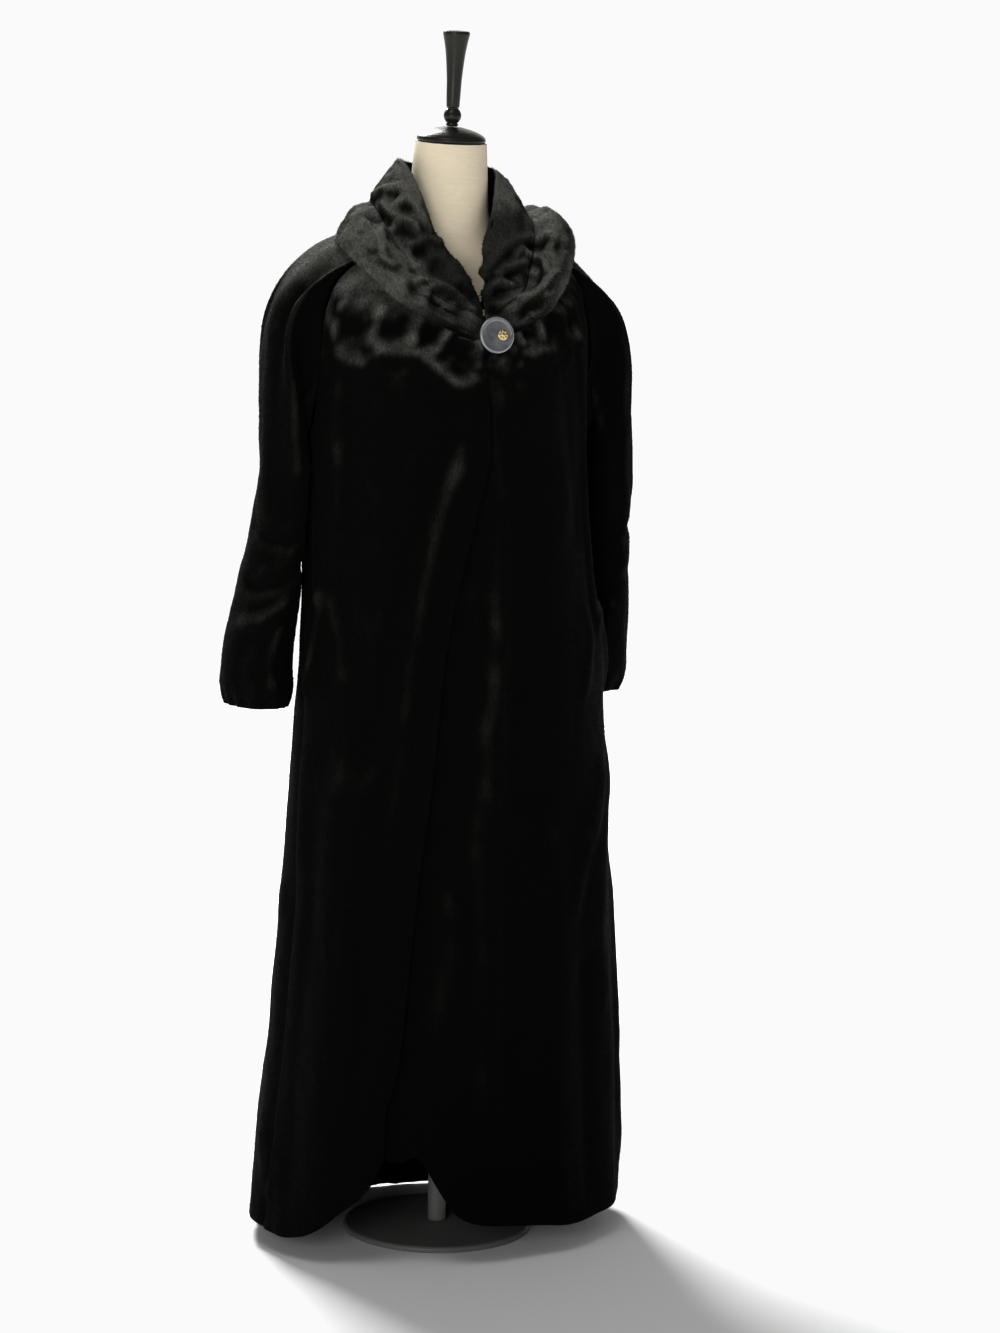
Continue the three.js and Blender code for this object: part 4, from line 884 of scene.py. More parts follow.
# ------------------------------------------------------------------ pile
def tufts(name, p, n, lay, nap, count, length, width, lift, seed, loop=False, where=None):
    """Short pointed tufts of pile, four-sided solids rooted in the surface grid p."""
    rng = np.random.default_rng(seed)
    a = p if not loop else np.concatenate([p, p[:1]])
    nn = n if not loop else np.concatenate([n, n[:1]])
    ll = lay if not loop else np.concatenate([lay, lay[:1]])
    vv = nap if not loop else np.concatenate([nap, nap[:1]])
    e1, e2 = a[1:, :-1] - a[:-1, :-1], a[:-1, 1:] - a[:-1, :-1]
    area = np.linalg.norm(np.cross(e1, e2), axis=-1)
    if where is not None:
        ww = where if not loop else np.concatenate([where, where[:1]])
        area = area * ww[:-1, :-1]
    cum = np.cumsum(area.ravel())
    pick = np.searchsorted(cum, (np.arange(count) + rng.random(count)) / count * cum[-1])
    pick = np.minimum(pick, area.size - 1)
    i, j = np.unravel_index(pick, area.shape)
    s, t = rng.random((2, count))

    def at(g):
        w = [((1 - s) * (1 - t)), (s * (1 - t)), ((1 - s) * t), (s * t)]
        q = [g[i, j], g[i + 1, j], g[i, j + 1], g[i + 1, j + 1]]
        return sum((w[k][:, None] if g.ndim == 3 else w[k]) * q[k] for k in range(4))
    root, nor, nv = at(a), unit(at(nn)), at(vv)
    la = at(ll)
    la = unit(la - nor * np.sum(la * nor, -1, keepdims=True))
    cr = np.cross(nor, la)
    turn = rng.normal(0, 0.35, count)
    swirl = 0.5 * noise(root, 45.0, seed + 1)
    c, sn = np.cos(turn + swirl)[:, None], np.sin(turn + swirl)[:, None]
    fwd, sid = la * c + cr * sn, cr * c - la * sn
    up = np.clip(lift * (0.7 + 0.6 * rng.random(count)), 0.05, 1.2)[:, None]
    ln = (length * (0.7 + 0.5 * rng.random(count)))[:, None]
    w = (width * (0.8 + 0.4 * rng.random(count)))[:, None]
    base = root - nor * 0.8
    v0 = base + sid * w * 0.5 - fwd * w * 0.2
    v1 = base - sid * w * 0.5 - fwd * w * 0.2
    v2 = base + fwd * w * 0.5 + nor * 0.9
    tip = root + (fwd * np.cos(up) + nor * np.sin(up)) * ln
    verts = np.stack([v0, v1, v2, tip], 1).reshape(-1, 3) / 1000.0
    k = np.arange(count)[:, None] * 4
    f = np.concatenate([k + np.array([[0, 1, 3]]), k + np.array([[1, 2, 3]]), k + np.array([[2, 0, 3]]), k + np.array([[0, 2, 1]])])
    # each tuft faces out
    a0, b0, c0 = verts[f[0, 0]], verts[f[0, 1]], verts[f[0, 2]]
    inside = verts[0:4].mean(0)
    if np.dot(np.cross(b0 - a0, c0 - a0), a0 - inside) < 0:
        f = f[:, ::-1]
    # each tuft carries the painted sheen of its root with a random share, painted darker at its base as shade and
    # lighter at its tip as a highlight
    shade = nv * (0.8 + 0.4 * rng.random(count))
    naps = np.stack([shade * 0.75, shade * 0.75, shade, shade * 1.15], 1)
    return new_mesh(name, verts, np.zeros((0, 4)), f, nap=np.clip(naps, 0, 1))


# ------------------------------------------------------------------ the coat's pieces
DOWN = np.array([0.0, 0.0, -1.0])


def body_piece(name, fn, nu, nv, flip, seed, count, free=()):
    length_u, length_v = {"back": (620, 1330)}.get(name, (420, 1250))
    us, vs = edge_steps(nu, length_u), edge_steps(nv, length_v)
    u, v = np.meshgrid(us, vs, indexing="ij")
    angle, level, out = fn(u, v)
    p = body_point(angle, level, out)
    n = grid_normals(p, flip=flip)
    d = body_detail(angle, level, p)
    if name == "front_left":
        cover = angle_at_x(level, along(UPPER_EDGE, "level", level, "x"))
        under = 1 - smooth(cover - 4, cover + 3, angle)
        d = d * (1 - under) + np.clip(d, -3, 0.5) * under
        d = d - 1.5 * smooth(1150.0, 1215.0, p[..., 2]) * under
    # seams pull in a little
    su = np.minimum(u, 1 - u) * length_u if name == "back" else (1 - u) * length_u
    d = d - 1.8 * np.exp(-(su / 7.0) ** 2)
    p = p + n * d[..., None]
    if name == "back":              # the back hem just clears the floor
        centre = smooth(112.0, 150.0, angle) * (1 - smooth(210.0, 248.0, angle))
        drop = np.maximum(p[:, :1, 2] - 3.2, 0) * centre
        p[..., 2] = p[..., 2] - drop * (1 - smooth(20.0, 300.0, p[..., 2]))
    p = closed_up(p, 1.9, ends=(name == "back", True))
    n = grid_normals(p, flip=flip)
    # painted sheen and shade: the gathered yoke above about 1150 mm and each raised fold are painted lighter as
    # sheen, the hollows between the gathers darker as shade, with random patches and mottle
    high = smooth(1150.0, 1190.0, p[..., 2])
    patchy = 0.5 + 0.9 * np.clip(fbm(p * np.array([1 / 40.0, 1 / 40.0, 1 / 90.0]), 1.0, seed=seed + 40, octaves=2) + 0.3, 0, 1)
    nap = nap_of(n, p, seed, (0.42 * patchy) * (1 - high) + 0.86 * high, (0.34 - 0.16 * high) * proud(d, 12), mottle=0.06 + 0.13 * high)
    nap = nap * mix(1.0, 1 - 0.78 * np.clip(-hollow_sum(angle, p[..., 2]) / 7.0, 0, 1), high)
    nap = nap * mix(1.0, np.clip(0.80 + 1.0 * fbm(p, 19.0, seed=seed + 60, octaves=3), 0.2, 1.5), high)
    nap = np.clip(soften(nap[..., None], 1)[..., 0], 0, 1)
    lay = np.broadcast_to(DOWN, p.shape)
    obj = sheet_mesh(name + "_cloth", p, n, WALL, flip=flip, nap=nap)
    pile = tufts(name + "_pile", p, n, lay, nap, count, 5.0, 2.2, 0.26, seed, where=inside_of(p))
    return obj, pile


def closed_up(p, reach, ends):
    """Moves a panel's seamed sides outwards along the cloth, so that a seam shows no gap."""
    q = p.copy()
    for end, wanted in zip((0, -1), ends):
        if not wanted:
            continue
        inner = 4 if end == 0 else -5
        away = unit(p[end] - p[inner])
        dist = np.linalg.norm(p - p[end][None], axis=-1)
        q = q + (reach * np.exp(-(dist / 8.0) ** 2))[..., None] * away[None]
    return q


def inside_of(p, margin=7.0, loop=False):
    """1 away from a grid's edges, 0 within margin mm of them."""
    dv = np.linalg.norm(np.diff(p, axis=1), axis=-1)
    run = np.concatenate([np.zeros((p.shape[0], 1)), np.cumsum(dv, 1)], 1)
    away = np.minimum(run, run[:, -1:] - run)
    if not loop:
        du = np.linalg.norm(np.diff(p, axis=0), axis=-1)
        run = np.concatenate([np.zeros((1, p.shape[1])), np.cumsum(du, 0)], 0)
        away = np.minimum(away, np.minimum(run, run[-1:] - run))
    return (away > margin).astype(float)


def sleeve_piece(side, tab, creases, sign, rise, nu, nv, flip, seed, count):
    us = np.arange(nu) / nu
    vs = edge_steps(nv, 640)
    f, v = np.meshgrid(us, vs, indexing="ij")
    p = sleeve(tab, sign, rise, f, v)
    n = grid_normals(p, loop=True, flip=flip)
    d = sleeve_detail(f, p, creases)
    cuff = (1 - v) * 640
    gather = np.sin(2 * np.pi * f * 13 + 2.2 * np.sin(2 * np.pi * f * 3 + seed))
    d = d + 2.6 * gather * np.exp(-((cuff - 6) / 16.0) ** 2) - 3.0 * np.exp(-(cuff / 10.0) ** 2) + 3.0 * np.exp(-((cuff - 30) / 16.0) ** 2)
    d = d - 1.8 * np.exp(-(v * 640 / 7.0) ** 2)
    p = p + n * d[..., None]
    n = grid_normals(p, loop=True, flip=flip)
    # painted sheen: the top of the sleeve cap near the collar is painted lighter, as is each raised fold, with random
    # mottle
    crown = smooth(1286.0, 1326.0, p[..., 2] + 10 * noise(p, 22.0, seed + 9)) * smooth(0.45, 0.25, np.abs(f - 0.4))
    nap = nap_of(n, p, seed, 0.09 + 0.44 * crown, 0.5 * proud(d, 12, loop=True), mottle=0.10)
    lay = np.broadcast_to(DOWN, p.shape)
    obj = sheet_mesh("sleeve_%s_cloth" % side, p, n, WALL, loop=True, flip=flip, nap=nap)
    pile = tufts("sleeve_%s_pile" % side, p, n, lay, nap, count, 5.0, 2.2, 0.26, seed, loop=True, where=inside_of(p, loop=True))
    return obj, pile


def hood_side(side, tab, puckers, ridges, catch, flip, seed, counts):
    us = edge_steps(190, 500) * 0.9985
    seam = 0.002
    v_in = edge_steps(56, 150) * (HOOD_GROOVE - seam)
    v_out = (HOOD_GROOVE + seam) + edge_steps(100, 260) * (1 - HOOD_GROOVE - seam)
    vs = np.concatenate([v_in, v_out])
    p = caught(hood(tab, us, vs), us, vs, catch)
    if side == "right":             # the roll sits close over the right shoulder
        sit = np.exp(-((us - 0.56) / 0.13) ** 2)[:, None] * smooth(0.5, 0.8, vs)[None, :]
        p = p + sit[..., None] * np.array([15.0, -6.0, -11.0])
    n = grid_normals(p, flip=flip)
    k = len(v_in)
    groove_line = 0.5 * (p[:, k - 1] + p[:, k])
    s = np.concatenate([[0], np.cumsum(np.linalg.norm(np.diff(groove_line, axis=0), axis=-1))])[:, None]
    run = np.concatenate([np.zeros((len(us), 1)), np.cumsum(np.linalg.norm(np.diff(p, axis=1), axis=-1), 1)], 1)
    w = run - 0.5 * (run[:, k - 1:k] + run[:, k:k + 1])
    u, v = np.meshgrid(us, vs, indexing="ij")
    d = hood_detail(u, v, s, w, p, puckers, ridges, seed)
    # lies quiet where it goes in under itself, at the neck seam and at the tucked bottom edge
    d = d * smooth(0.04, 0.16, v) * (1 - 0.85 * smooth(0.88, 0.97, v))
    p = p + n * d[..., None]
    n = grid_normals(p, flip=flip)
    # painted sheen and shade of the hood: faces towards its light direction and raised folds painted lighter, the
    # left half given more
    nap = nap_of(n, p, seed, 0.95 if side == "right" else 1.3, 0.20 * proud(d, 18), mottle=0.12, side=unit(np.array([-0.16, -0.46, 0.87])))
    p = closed_up(p, 1.4, ends=(False, True))
    # painted darker towards the centre back
    nap = nap * mix(1.0, 0.62, smooth(0.55, 0.75, u))
    # painted shade: the strip along the V is painted darker towards its low end
    low, top = (1362.0, 1415.0) if side == "right" else (1388.0, 1432.0)
    strip = 1 - smooth(HOOD_GROOVE - 0.12, HOOD_GROOVE + 0.04, v)
    nap = nap * mix(1.0, mix(0.20, 1.0, smooth(low, top, p[..., 2])), strip)
    # painted darker at the end caught under the button
    nap = nap * mix(0.45, 1.0, smooth(0.03, 0.14, u))
    # painted light along the outer edge, over the shade where it turns under
    nap = np.maximum(nap, (0.50 + 0.35 * fbm(p, 16.0, seed=seed + 21, octaves=3)) * smooth(0.62, 0.74, v) * (1 - smooth(0.90, 0.98, v)) * smooth(0.05, 0.16, u) * (1 - smooth(0.45, 0.58, u)))
    # painted shade in the puckers and painted highlights along the lit ridges
    pucker_shade = np.zeros(nap.shape)
    for i in range(len(puckers["x"])):
        c = np.array([puckers["x"][i], puckers["y"][i], puckers["z"][i]])
        pucker_shade = np.maximum(pucker_shade, np.exp(-np.sum((p - c) ** 2, -1) / (1.1 * puckers["radius"][i]) ** 2))
    nap = np.clip(nap * (1 - 0.55 * pucker_shade) + 0.030 * ridge_sum(p, ridges), 0, 1)
    nap = soften(nap[..., None], 1)[..., 0]
    lay = np.gradient(p, axis=1)
    out = []
    for part, a, b, count in (("inner", 0, k, counts[0]), ("border", k, len(vs), counts[1])):
        q, m, g, l = p[:, a:b], n[:, a:b], nap[:, a:b], lay[:, a:b]
        obj = sheet_mesh("hood_%s_%s_cloth" % (part, side), q, m, WALL, flip=flip, nap=g)
        pile = tufts("hood_%s_%s_pile" % (part, side), q, m, l, g, count, 4.6, 2.0, 0.34, seed + a, where=inside_of(q, 4.0))
        out.append((obj, pile))
    return out


# ------------------------------------------------------------------ dress form, button, stand
def lathe(name, profile, around, matrix=Matrix.Identity(4), squash_y=1.0):
    """profile rows (radius, height) in mm from axis to axis, smoothed by short arcs at its corners."""
    pts = [Vector((r, h)) for r, h in profile]
    rounded = [pts[0]]
    for a, b, c in zip(pts[:-2], pts[1:-1], pts[2:]):
        la, lc = (a - b).length, (c - b).length
        cut = min(0.28 * la, 0.28 * lc)
        q0, q1 = b + (a - b).normalized() * cut, b + (c - b).normalized() * cut
        rounded += [(1 - t) ** 2 * q0 + 2 * t * (1 - t) * b + t * t * q1 for t in (0, 0.33, 0.67, 1)]
    rounded.append(pts[-1])
    rings = [q for q in rounded[1:-1]]
    verts = [(0, 0, rounded[0].y)]
    for q in rings:
        for k in range(around):
            t = 2 * math.pi * k / around
            verts.append((q.x * math.cos(t), squash_y * q.x * math.sin(t), q.y))
    verts.append((0, 0, rounded[-1].y))
    quads, tris = [], []
    for r in range(len(rings) - 1):
        for k in range(around):
            a, b = 1 + r * around + k, 1 + r * around + (k + 1) % around
            quads.append((a, b, b + around, a + around))
    last = 1 + (len(rings) - 1) * around
    for k in range(around):
        m = (k + 1) % around
        tris.append((0, 1 + m, 1 + k))
        tris.append((len(verts) - 1, last + k, last + m))
    pos = np.array([matrix @ Vector(v) for v in verts]) / 1000.0
    return outward(new_mesh(name, pos, quads, tris))


def outward(obj):
    import bmesh
    bm = bmesh.new()
    bm.from_mesh(obj.data)
    bmesh.ops.recalc_face_normals(bm, faces=bm.faces)
    if bm.calc_volume(signed=True) < 0:
        bmesh.ops.reverse_faces(bm, faces=bm.faces)
    bm.to_mesh(obj.data)
    bm.free()
    return obj


def crown_edges(obj, angle=35):
    """Keep sharp turnings crisp."""
    mesh = obj.data
    import bmesh
    bm = bmesh.new()
    bm.from_mesh(mesh)
    for e in bm.edges:
        if len(e.link_faces) == 2 and e.calc_face_angle(0) > math.radians(angle):
            e.smooth = False
    bm.to_mesh(mesh)
    bm.free()


CAP_TILT, CAP_Z, CAP_R = 6.0, 1488.0, 46.5


def torso():
    zs = []
    for a, b in zip(FORM["z"][:-1], FORM["z"][1:]):
        zs += list(np.linspace(a, b, max(2, int((b - a) / 7)) + 1)[:-1])
    zs.append(FORM["z"][-1])
    zs = np.array(zs)
    around = 112
    t = 2 * np.pi * np.arange(around) / around
    hx, hy, cy = (along(FORM, "z", zs, c)[:, None] for c in ("halfX", "halfY", "centreY"))
    x = hx * np.sin(t)
    back = -hy * np.cos(t)
    y = cy + back
    lift = np.zeros(zs.shape)
    lift[-1] = 1.0
    top = FORM["z"][-1]
    share = np.clip((zs - (top - 30)) / 30, 0, 1)[:, None]
    z = zs[:, None] + back * math.tan(math.radians(CAP_TILT)) * share ** 2
    verts = [np.stack([x, y, z], -1).reshape(-1, 3)]
    n = len(zs)
    quads = []
    for i in range(n - 1):
        for k in range(around):
            a, b = i * around + k, i * around + (k + 1) % around
            quads.append((a, b, b + around, a + around))
    cap = [[0, float(FORM["centreY"][0]), float(FORM["z"][0])], [0, float(FORM["centreY"][-1]), float(FORM["z"][-1])]]
    verts = np.concatenate([verts[0], np.array(cap)]) / 1000.0
    low, high = n * around, n * around + 1
    tris = []
    for k in range(around):
        m = (k + 1) % around
        tris += [(low, m, k), (high, (n - 1) * around + k, (n - 1) * around + m)]
    obj = outward(new_mesh("form_torso_linen", verts, quads, tris))
    crown_edges(obj, 50)
    return obj


neck_y = float(FORM["centreY"][-1])
NECK_TOP = Matrix.Translation((0, neck_y, CAP_Z)) @ Matrix.Rotation(math.radians(CAP_TILT), 4, "X")
BUTTON = Matrix.Translation((11.3, -147.0, 1241.0)) @ Matrix.Rotation(math.radians(90 - 8), 4, "X")


def tube(name, points, radius, sides=12, per=8):
    pts = np.array(points, float)
    t = np.linspace(0, 1, (len(pts) - 1) * per + 1)
    line = catmull(pts[:, None, :], t)[:, 0]
    tan = unit(np.gradient(line, axis=0))
    ref = np.array([0, 1.0, 0])
    a = unit(np.cross(tan, ref))
    b = np.cross(tan, a)
    k = np.arange(sides) * 2 * np.pi / sides
    ring = line[:, None] + radius * (np.cos(k)[None, :, None] * a[:, None] + np.sin(k)[None, :, None] * b[:, None])
    n = len(line)
    quads = [(i * sides + j, i * sides + (j + 1) % sides, (i + 1) * sides + (j + 1) % sides, (i + 1) * sides + j)
             for i in range(n - 1) for j in range(sides)]
    verts = np.concatenate([ring.reshape(-1, 3), line[:1], line[-1:]]) / 1000.0
    tris = []
    for j in range(sides):
        m = (j + 1) % sides
        tris += [(n * sides, m, j), (n * sides + 1, (n - 1) * sides + j, (n - 1) * sides + m)]
    return outward(new_mesh(name, verts, quads, tris))


def rosette():
    """A generic round rosette: a ring of eight beads round a domed centre."""
    parts = []
    import bmesh
    bm = bmesh.new()
    bmesh.ops.create_uvsphere(bm, u_segments=20, v_segments=10, radius=2.3, matrix=Matrix.Translation((0, 0, 0.3)) @ Matrix.Diagonal((1, 1, 0.55, 1)))
    for k in range(8):
        t = 2 * math.pi * k / 8
        m = Matrix.Translation((4.1 * math.cos(t), 4.1 * math.sin(t), 0.25)) @ Matrix.Rotation(t, 4, "Z") @ Matrix.Diagonal((1.25, 0.9, 0.5, 1))
        bmesh.ops.create_uvsphere(bm, u_segments=12, v_segments=8, radius=1.35, matrix=m)
    ring = bmesh.ops.create_cone(bm, cap_ends=True, segments=40, radius1=6.0, radius2=5.6, depth=0.5, matrix=Matrix.Translation((0, 0, 0.2)))
    place = Matrix.Diagonal((0.001, 0.001, 0.001, 1)) @ BUTTON @ Matrix.Translation((8, 0, 5.5 / 2 - 0.75)) @ Matrix.Diagonal((1.2, 1.2, 1.0, 1))
    bmesh.ops.transform(bm, matrix=place, verts=bm.verts)
    mesh = bpy.data.meshes.new("button_rosette")
    bm.to_mesh(mesh)
    bm.free()
    for p in mesh.polygons:
        p.use_smooth = True
    obj = bpy.data.objects.new("button_rosette", mesh)
    bpy.context.scene.collection.objects.link(obj)
    return obj


# ------------------------------------------------------------------ camera, light, floor
scene = bpy.context.scene


def make_camera():
    az, yaw, pitch, roll = (math.radians(x) for x in (-22.0, 0.99, 7.51, 0.79))
    location = Vector((math.sin(az) * 4.5, -math.cos(az) * 4.5, 1.38))
    fwd0, right0, up = Vector((-math.sin(az), math.cos(az), 0)), Vector((math.cos(az), math.sin(az), 0)), Vector((0, 0, 1))
    fwd = fwd0 * math.cos(yaw) + right0 * math.sin(yaw)
    right = right0 * math.cos(yaw) - fwd0 * math.sin(yaw)
    f = fwd * math.cos(pitch) - up * math.sin(pitch)
    u = up * math.cos(pitch) + fwd * math.sin(pitch)
    x = right * math.cos(roll) + u * math.sin(roll)
    y = u * math.cos(roll) - right * math.sin(roll)
    data = bpy.data.cameras.new("camera")
    data.sensor_fit = "HORIZONTAL"
    data.sensor_width = 36.0
    data.lens = 3327.0 / 1000.0 * 36.0
    data.clip_end = 100.0
    cam = bpy.data.objects.new("camera", data)
    m = Matrix((x, y, -f)).transposed().to_4x4()
    cam.matrix_world = Matrix.Translation(location) @ m
    scene.collection.objects.link(cam)
    scene.camera = cam
    return cam


make_camera()


def area_light(name, place, target, size, power, colour=(1, 1, 1)):
    data = bpy.data.lights.new(name, "AREA")
    data.shape = "RECTANGLE"
    data.size, data.size_y = size
    data.energy = power
    data.color = colour
    obj = bpy.data.objects.new(name, data)
    obj.location = place
    obj.rotation_euler = (Vector(target) - Vector(place)).to_track_quat("-Z", "Y").to_euler()
    scene.collection.objects.link(obj)
    return obj


area_light("key_back", (-0.03, 2.8, 3.4), (0.0, 0.0, 0.5), (1.3, 1.3), 335)
area_light("front_soft", (-2.7, -3.45, 1.25), (0.0, 0.0, 1.0), (1.8, 1.8), 62)
area_light("top_soft", (-0.9, -0.9, 3.2), (0.0, -0.05, 1.2), (1.2, 1.2), 17)

world = bpy.data.worlds.new("studio")
world.use_nodes = True
scene.world = world
scene.view_settings.view_transform = "Standard"
scene.view_settings.look = "None"
# paper white: tones at and past 1.0 all show as one pale tone
scene.view_settings.use_curve_mapping = True
white = scene.view_settings.curve_mapping
white.extend = "HORIZONTAL"
white.curves[3].points[1].location = (1.0, 0.957)
for point in white.curves[3].points:
    point.handle_type = "VECTOR"
white.update()


# ------------------------------------------------------------------ materials
def principled(name, **sockets):
    mat = bpy.data.materials.new(name)
    mat.use_nodes = True
    shader = mat.node_tree.nodes["Principled BSDF"]
    for key, value in sockets.items():
        shader.inputs[key.replace("_", " ")].default_value = value
    return mat, mat.node_tree, shader


def node(tree, kind, **settings):
    n = tree.nodes.new(kind)
    for key, value in settings.items():
        if hasattr(n, key):
            setattr(n, key, value)
        else:
            n.inputs[key.replace("_", " ")].default_value = value
    return n


def link(tree, a, out, b, into):
    tree.links.new(a.outputs[out], b.inputs[into])


def math_node(tree, op, a, b=None, clamp=False):
    n = tree.nodes.new("ShaderNodeMath")
    n.operation, n.use_clamp = op, clamp
    for k, x in enumerate((a, b)):
        if x is None:
            continue
        if isinstance(x, (int, float)):
            n.inputs[k].default_value = x
        else:
            tree.links.new(x, n.inputs[k])
    return n.outputs[0]


def light_world():
    """A dim room with a broad pale backdrop behind the coat."""
    tree = world.node_tree
    back = tree.nodes["Background"]
    coord = node(tree, "ShaderNodeTexCoord")
    facing = node(tree, "ShaderNodeVectorMath")
    facing.operation = "DOT_PRODUCT"
    facing.inputs[1].default_value = (0.375, 0.927, 0.0)
    link(tree, coord, "Generated", facing, 0)
    span = node(tree, "ShaderNodeMapRange", interpolation_type="SMOOTHSTEP")
    span.inputs["From Min"].default_value, span.inputs["From Max"].default_value = 0.72, 0.90
    span.inputs["To Min"].default_value, span.inputs["To Max"].default_value = WORLD_DIM, 1.06
    link(tree, facing, "Value", span, "Value")
    link(tree, span, "Result", back, "Strength")
    back.inputs["Color"].default_value = (1.0, 1.0, 1.0, 1)


WORLD_DIM = 0.16
light_world()


def fur_material(name, dark, painted_sheen_colour, grain, bump, seed=0.0):
    """Black pile: its colour runs from flat black to an olive-grey painted sheen by the painted sheen and shade value
    on its vertices, broken up by fine grain and random patches.
    """
    mat, tree, shader = principled(name, Roughness=0.9, Metallic=0.0)
    shader.inputs["Specular IOR Level"].default_value = 0.02
    shader.inputs["Sheen Weight"].default_value = 0.007
    shader.inputs["Sheen Roughness"].default_value = 0.35
    shader.inputs["Sheen Tint"].default_value = (0.9, 0.9, 0.84, 1)
    coord = node(tree, "ShaderNodeTexCoord")
    stretch = node(tree, "ShaderNodeMapping")
    stretch.inputs["Scale"].default_value = (1.0, 1.0, 0.3)
    link(tree, coord, "Object", stretch, "Vector")
    fine = node(tree, "ShaderNodeTexNoise", Scale=grain, Detail=5.0, Roughness=0.62)
    link(tree, stretch, "Vector", fine, "Vector")
    patch = node(tree, "ShaderNodeTexNoise", Scale=38.0, Detail=3.0, Roughness=0.5)
    link(tree, coord, "Object", patch, "Vector")
    nap = node(tree, "ShaderNodeAttribute", attribute_name="nap")
    g = math_node(tree, "MULTIPLY_ADD", fine.outputs["Fac"], 3.4)
    g.node.inputs[2].default_value = -0.7
    q = math_node(tree, "MULTIPLY_ADD", patch.outputs["Fac"], 1.0)
    q.node.inputs[2].default_value = 0.5
    f = math_node(tree, "MULTIPLY", nap.outputs["Fac"], g)
    f = math_node(tree, "MULTIPLY", f, q, clamp=True)
    ramp = node(tree, "ShaderNodeValToRGB")
    ramp.color_ramp.elements[0].color = (*dark, 1)
    ramp.color_ramp.elements[1].color = (*painted_sheen_colour, 1)
    tree.links.new(f, ramp.inputs["Fac"])
    link(tree, ramp, "Color", shader, "Base Color")
    b = node(tree, "ShaderNodeBump", Strength=bump, Distance=0.002)
    link(tree, fine, "Fac", b, "Height")
    link(tree, b, "Normal", shader, "Normal")
    return mat


# FUR_DARK is the pile's own black; the second colour is the painted sheen, shown where light falls on the pile
FUR_DARK, FUR_PAINTED_SHEEN = (0.0013, 0.0013, 0.0012), (0.092, 0.091, 0.081)
fur = fur_material("fur_backing", FUR_DARK, FUR_PAINTED_SHEEN, 420.0, 0.6)
pile_mat = fur_material("fur_pile", FUR_DARK, FUR_PAINTED_SHEEN, 260.0, 0.15)


def linen_material():
    """Plain-weave natural linen: slubs, thread bumps and a little uneven colour."""
    mat, tree, shader = principled("linen", Roughness=0.92)
    shader.inputs["Specular IOR Level"].default_value = 0.15
    shader.inputs["Sheen Weight"].default_value = 0.08
    coord = node(tree, "ShaderNodeTexCoord")
    sep = node(tree, "ShaderNodeSeparateXYZ")
    link(tree, coord, "Object", sep, "Vector")
    turn = math_node(tree, "ARCTAN2", sep.outputs["X"], sep.outputs["Y"])
    warp = math_node(tree, "MULTIPLY", turn, 0.052 * 2 * math.pi / 0.0013)
    weft = math_node(tree, "MULTIPLY", sep.outputs["Z"], 2 * math.pi / 0.0013)
    over = math_node(tree, "MULTIPLY", math_node(tree, "SINE", warp), math_node(tree, "SINE", weft))
    slub_map = node(tree, "ShaderNodeMapping")
    slub_map.inputs["Scale"].default_value = (1.0, 1.0, 9.0)
    link(tree, coord, "Object", slub_map, "Vector")
    slub = node(tree, "ShaderNodeTexNoise", Scale=70.0, Detail=4.0, Roughness=0.6)
    link(tree, slub_map, "Vector", slub, "Vector")
    cloud = node(tree, "ShaderNodeTexNoise", Scale=16.0, Detail=3.0)
    link(tree, coord, "Object", cloud, "Vector")
    ramp = node(tree, "ShaderNodeValToRGB")
    ramp.color_ramp.elements[0].position, ramp.color_ramp.elements[1].position = 0.25, 0.75
    ramp.color_ramp.elements[0].color = (0.56, 0.48, 0.345, 1)
    ramp.color_ramp.elements[1].color = (0.68, 0.60, 0.455, 1)
    m = math_node(tree, "ADD", math_node(tree, "MULTIPLY", slub.outputs["Fac"], 0.6), math_node(tree, "MULTIPLY", cloud.outputs["Fac"], 0.4))
    tree.links.new(m, ramp.inputs["Fac"])
    link(tree, ramp, "Color", shader, "Base Color")
    h = math_node(tree, "ADD", math_node(tree, "MULTIPLY", over, 0.5), slub.outputs["Fac"])
    b = node(tree, "ShaderNodeBump", Strength=0.35, Distance=0.0006)
    tree.links.new(h, b.inputs["Height"])
    link(tree, b, "Normal", shader, "Normal")
    return mat


def lacquer_material():
    mat, tree, shader = principled("black_lacquer", Roughness=0.35)
    shader.inputs["Specular IOR Level"].default_value = 0.13
    shader.inputs["Coat Weight"].default_value = 0.03
    shader.inputs["Coat Roughness"].default_value = 0.12
    coord = node(tree, "ShaderNodeTexCoord")
    smear = node(tree, "ShaderNodeTexNoise", Scale=22.0, Detail=5.0, Roughness=0.6)
    link(tree, coord, "Object", smear, "Vector")
    ramp = node(tree, "ShaderNodeValToRGB")
    ramp.color_ramp.elements[0].color = (0.006, 0.0058, 0.0045, 1)
    ramp.color_ramp.elements[1].color = (0.016, 0.0155, 0.0105, 1)
    link(tree, smear, "Fac", ramp, "Fac")
    link(tree, ramp, "Color", shader, "Base Color")
    r = math_node(tree, "MULTIPLY_ADD", smear.outputs["Fac"], 0.16)
    r.node.inputs[2].default_value = 0.2
    tree.links.new(r, shader.inputs["Roughness"])
    b = node(tree, "ShaderNodeBump", Strength=0.08, Distance=0.0006)
    link(tree, smear, "Fac", b, "Height")
    link(tree, b, "Normal", shader, "Normal")
    return mat


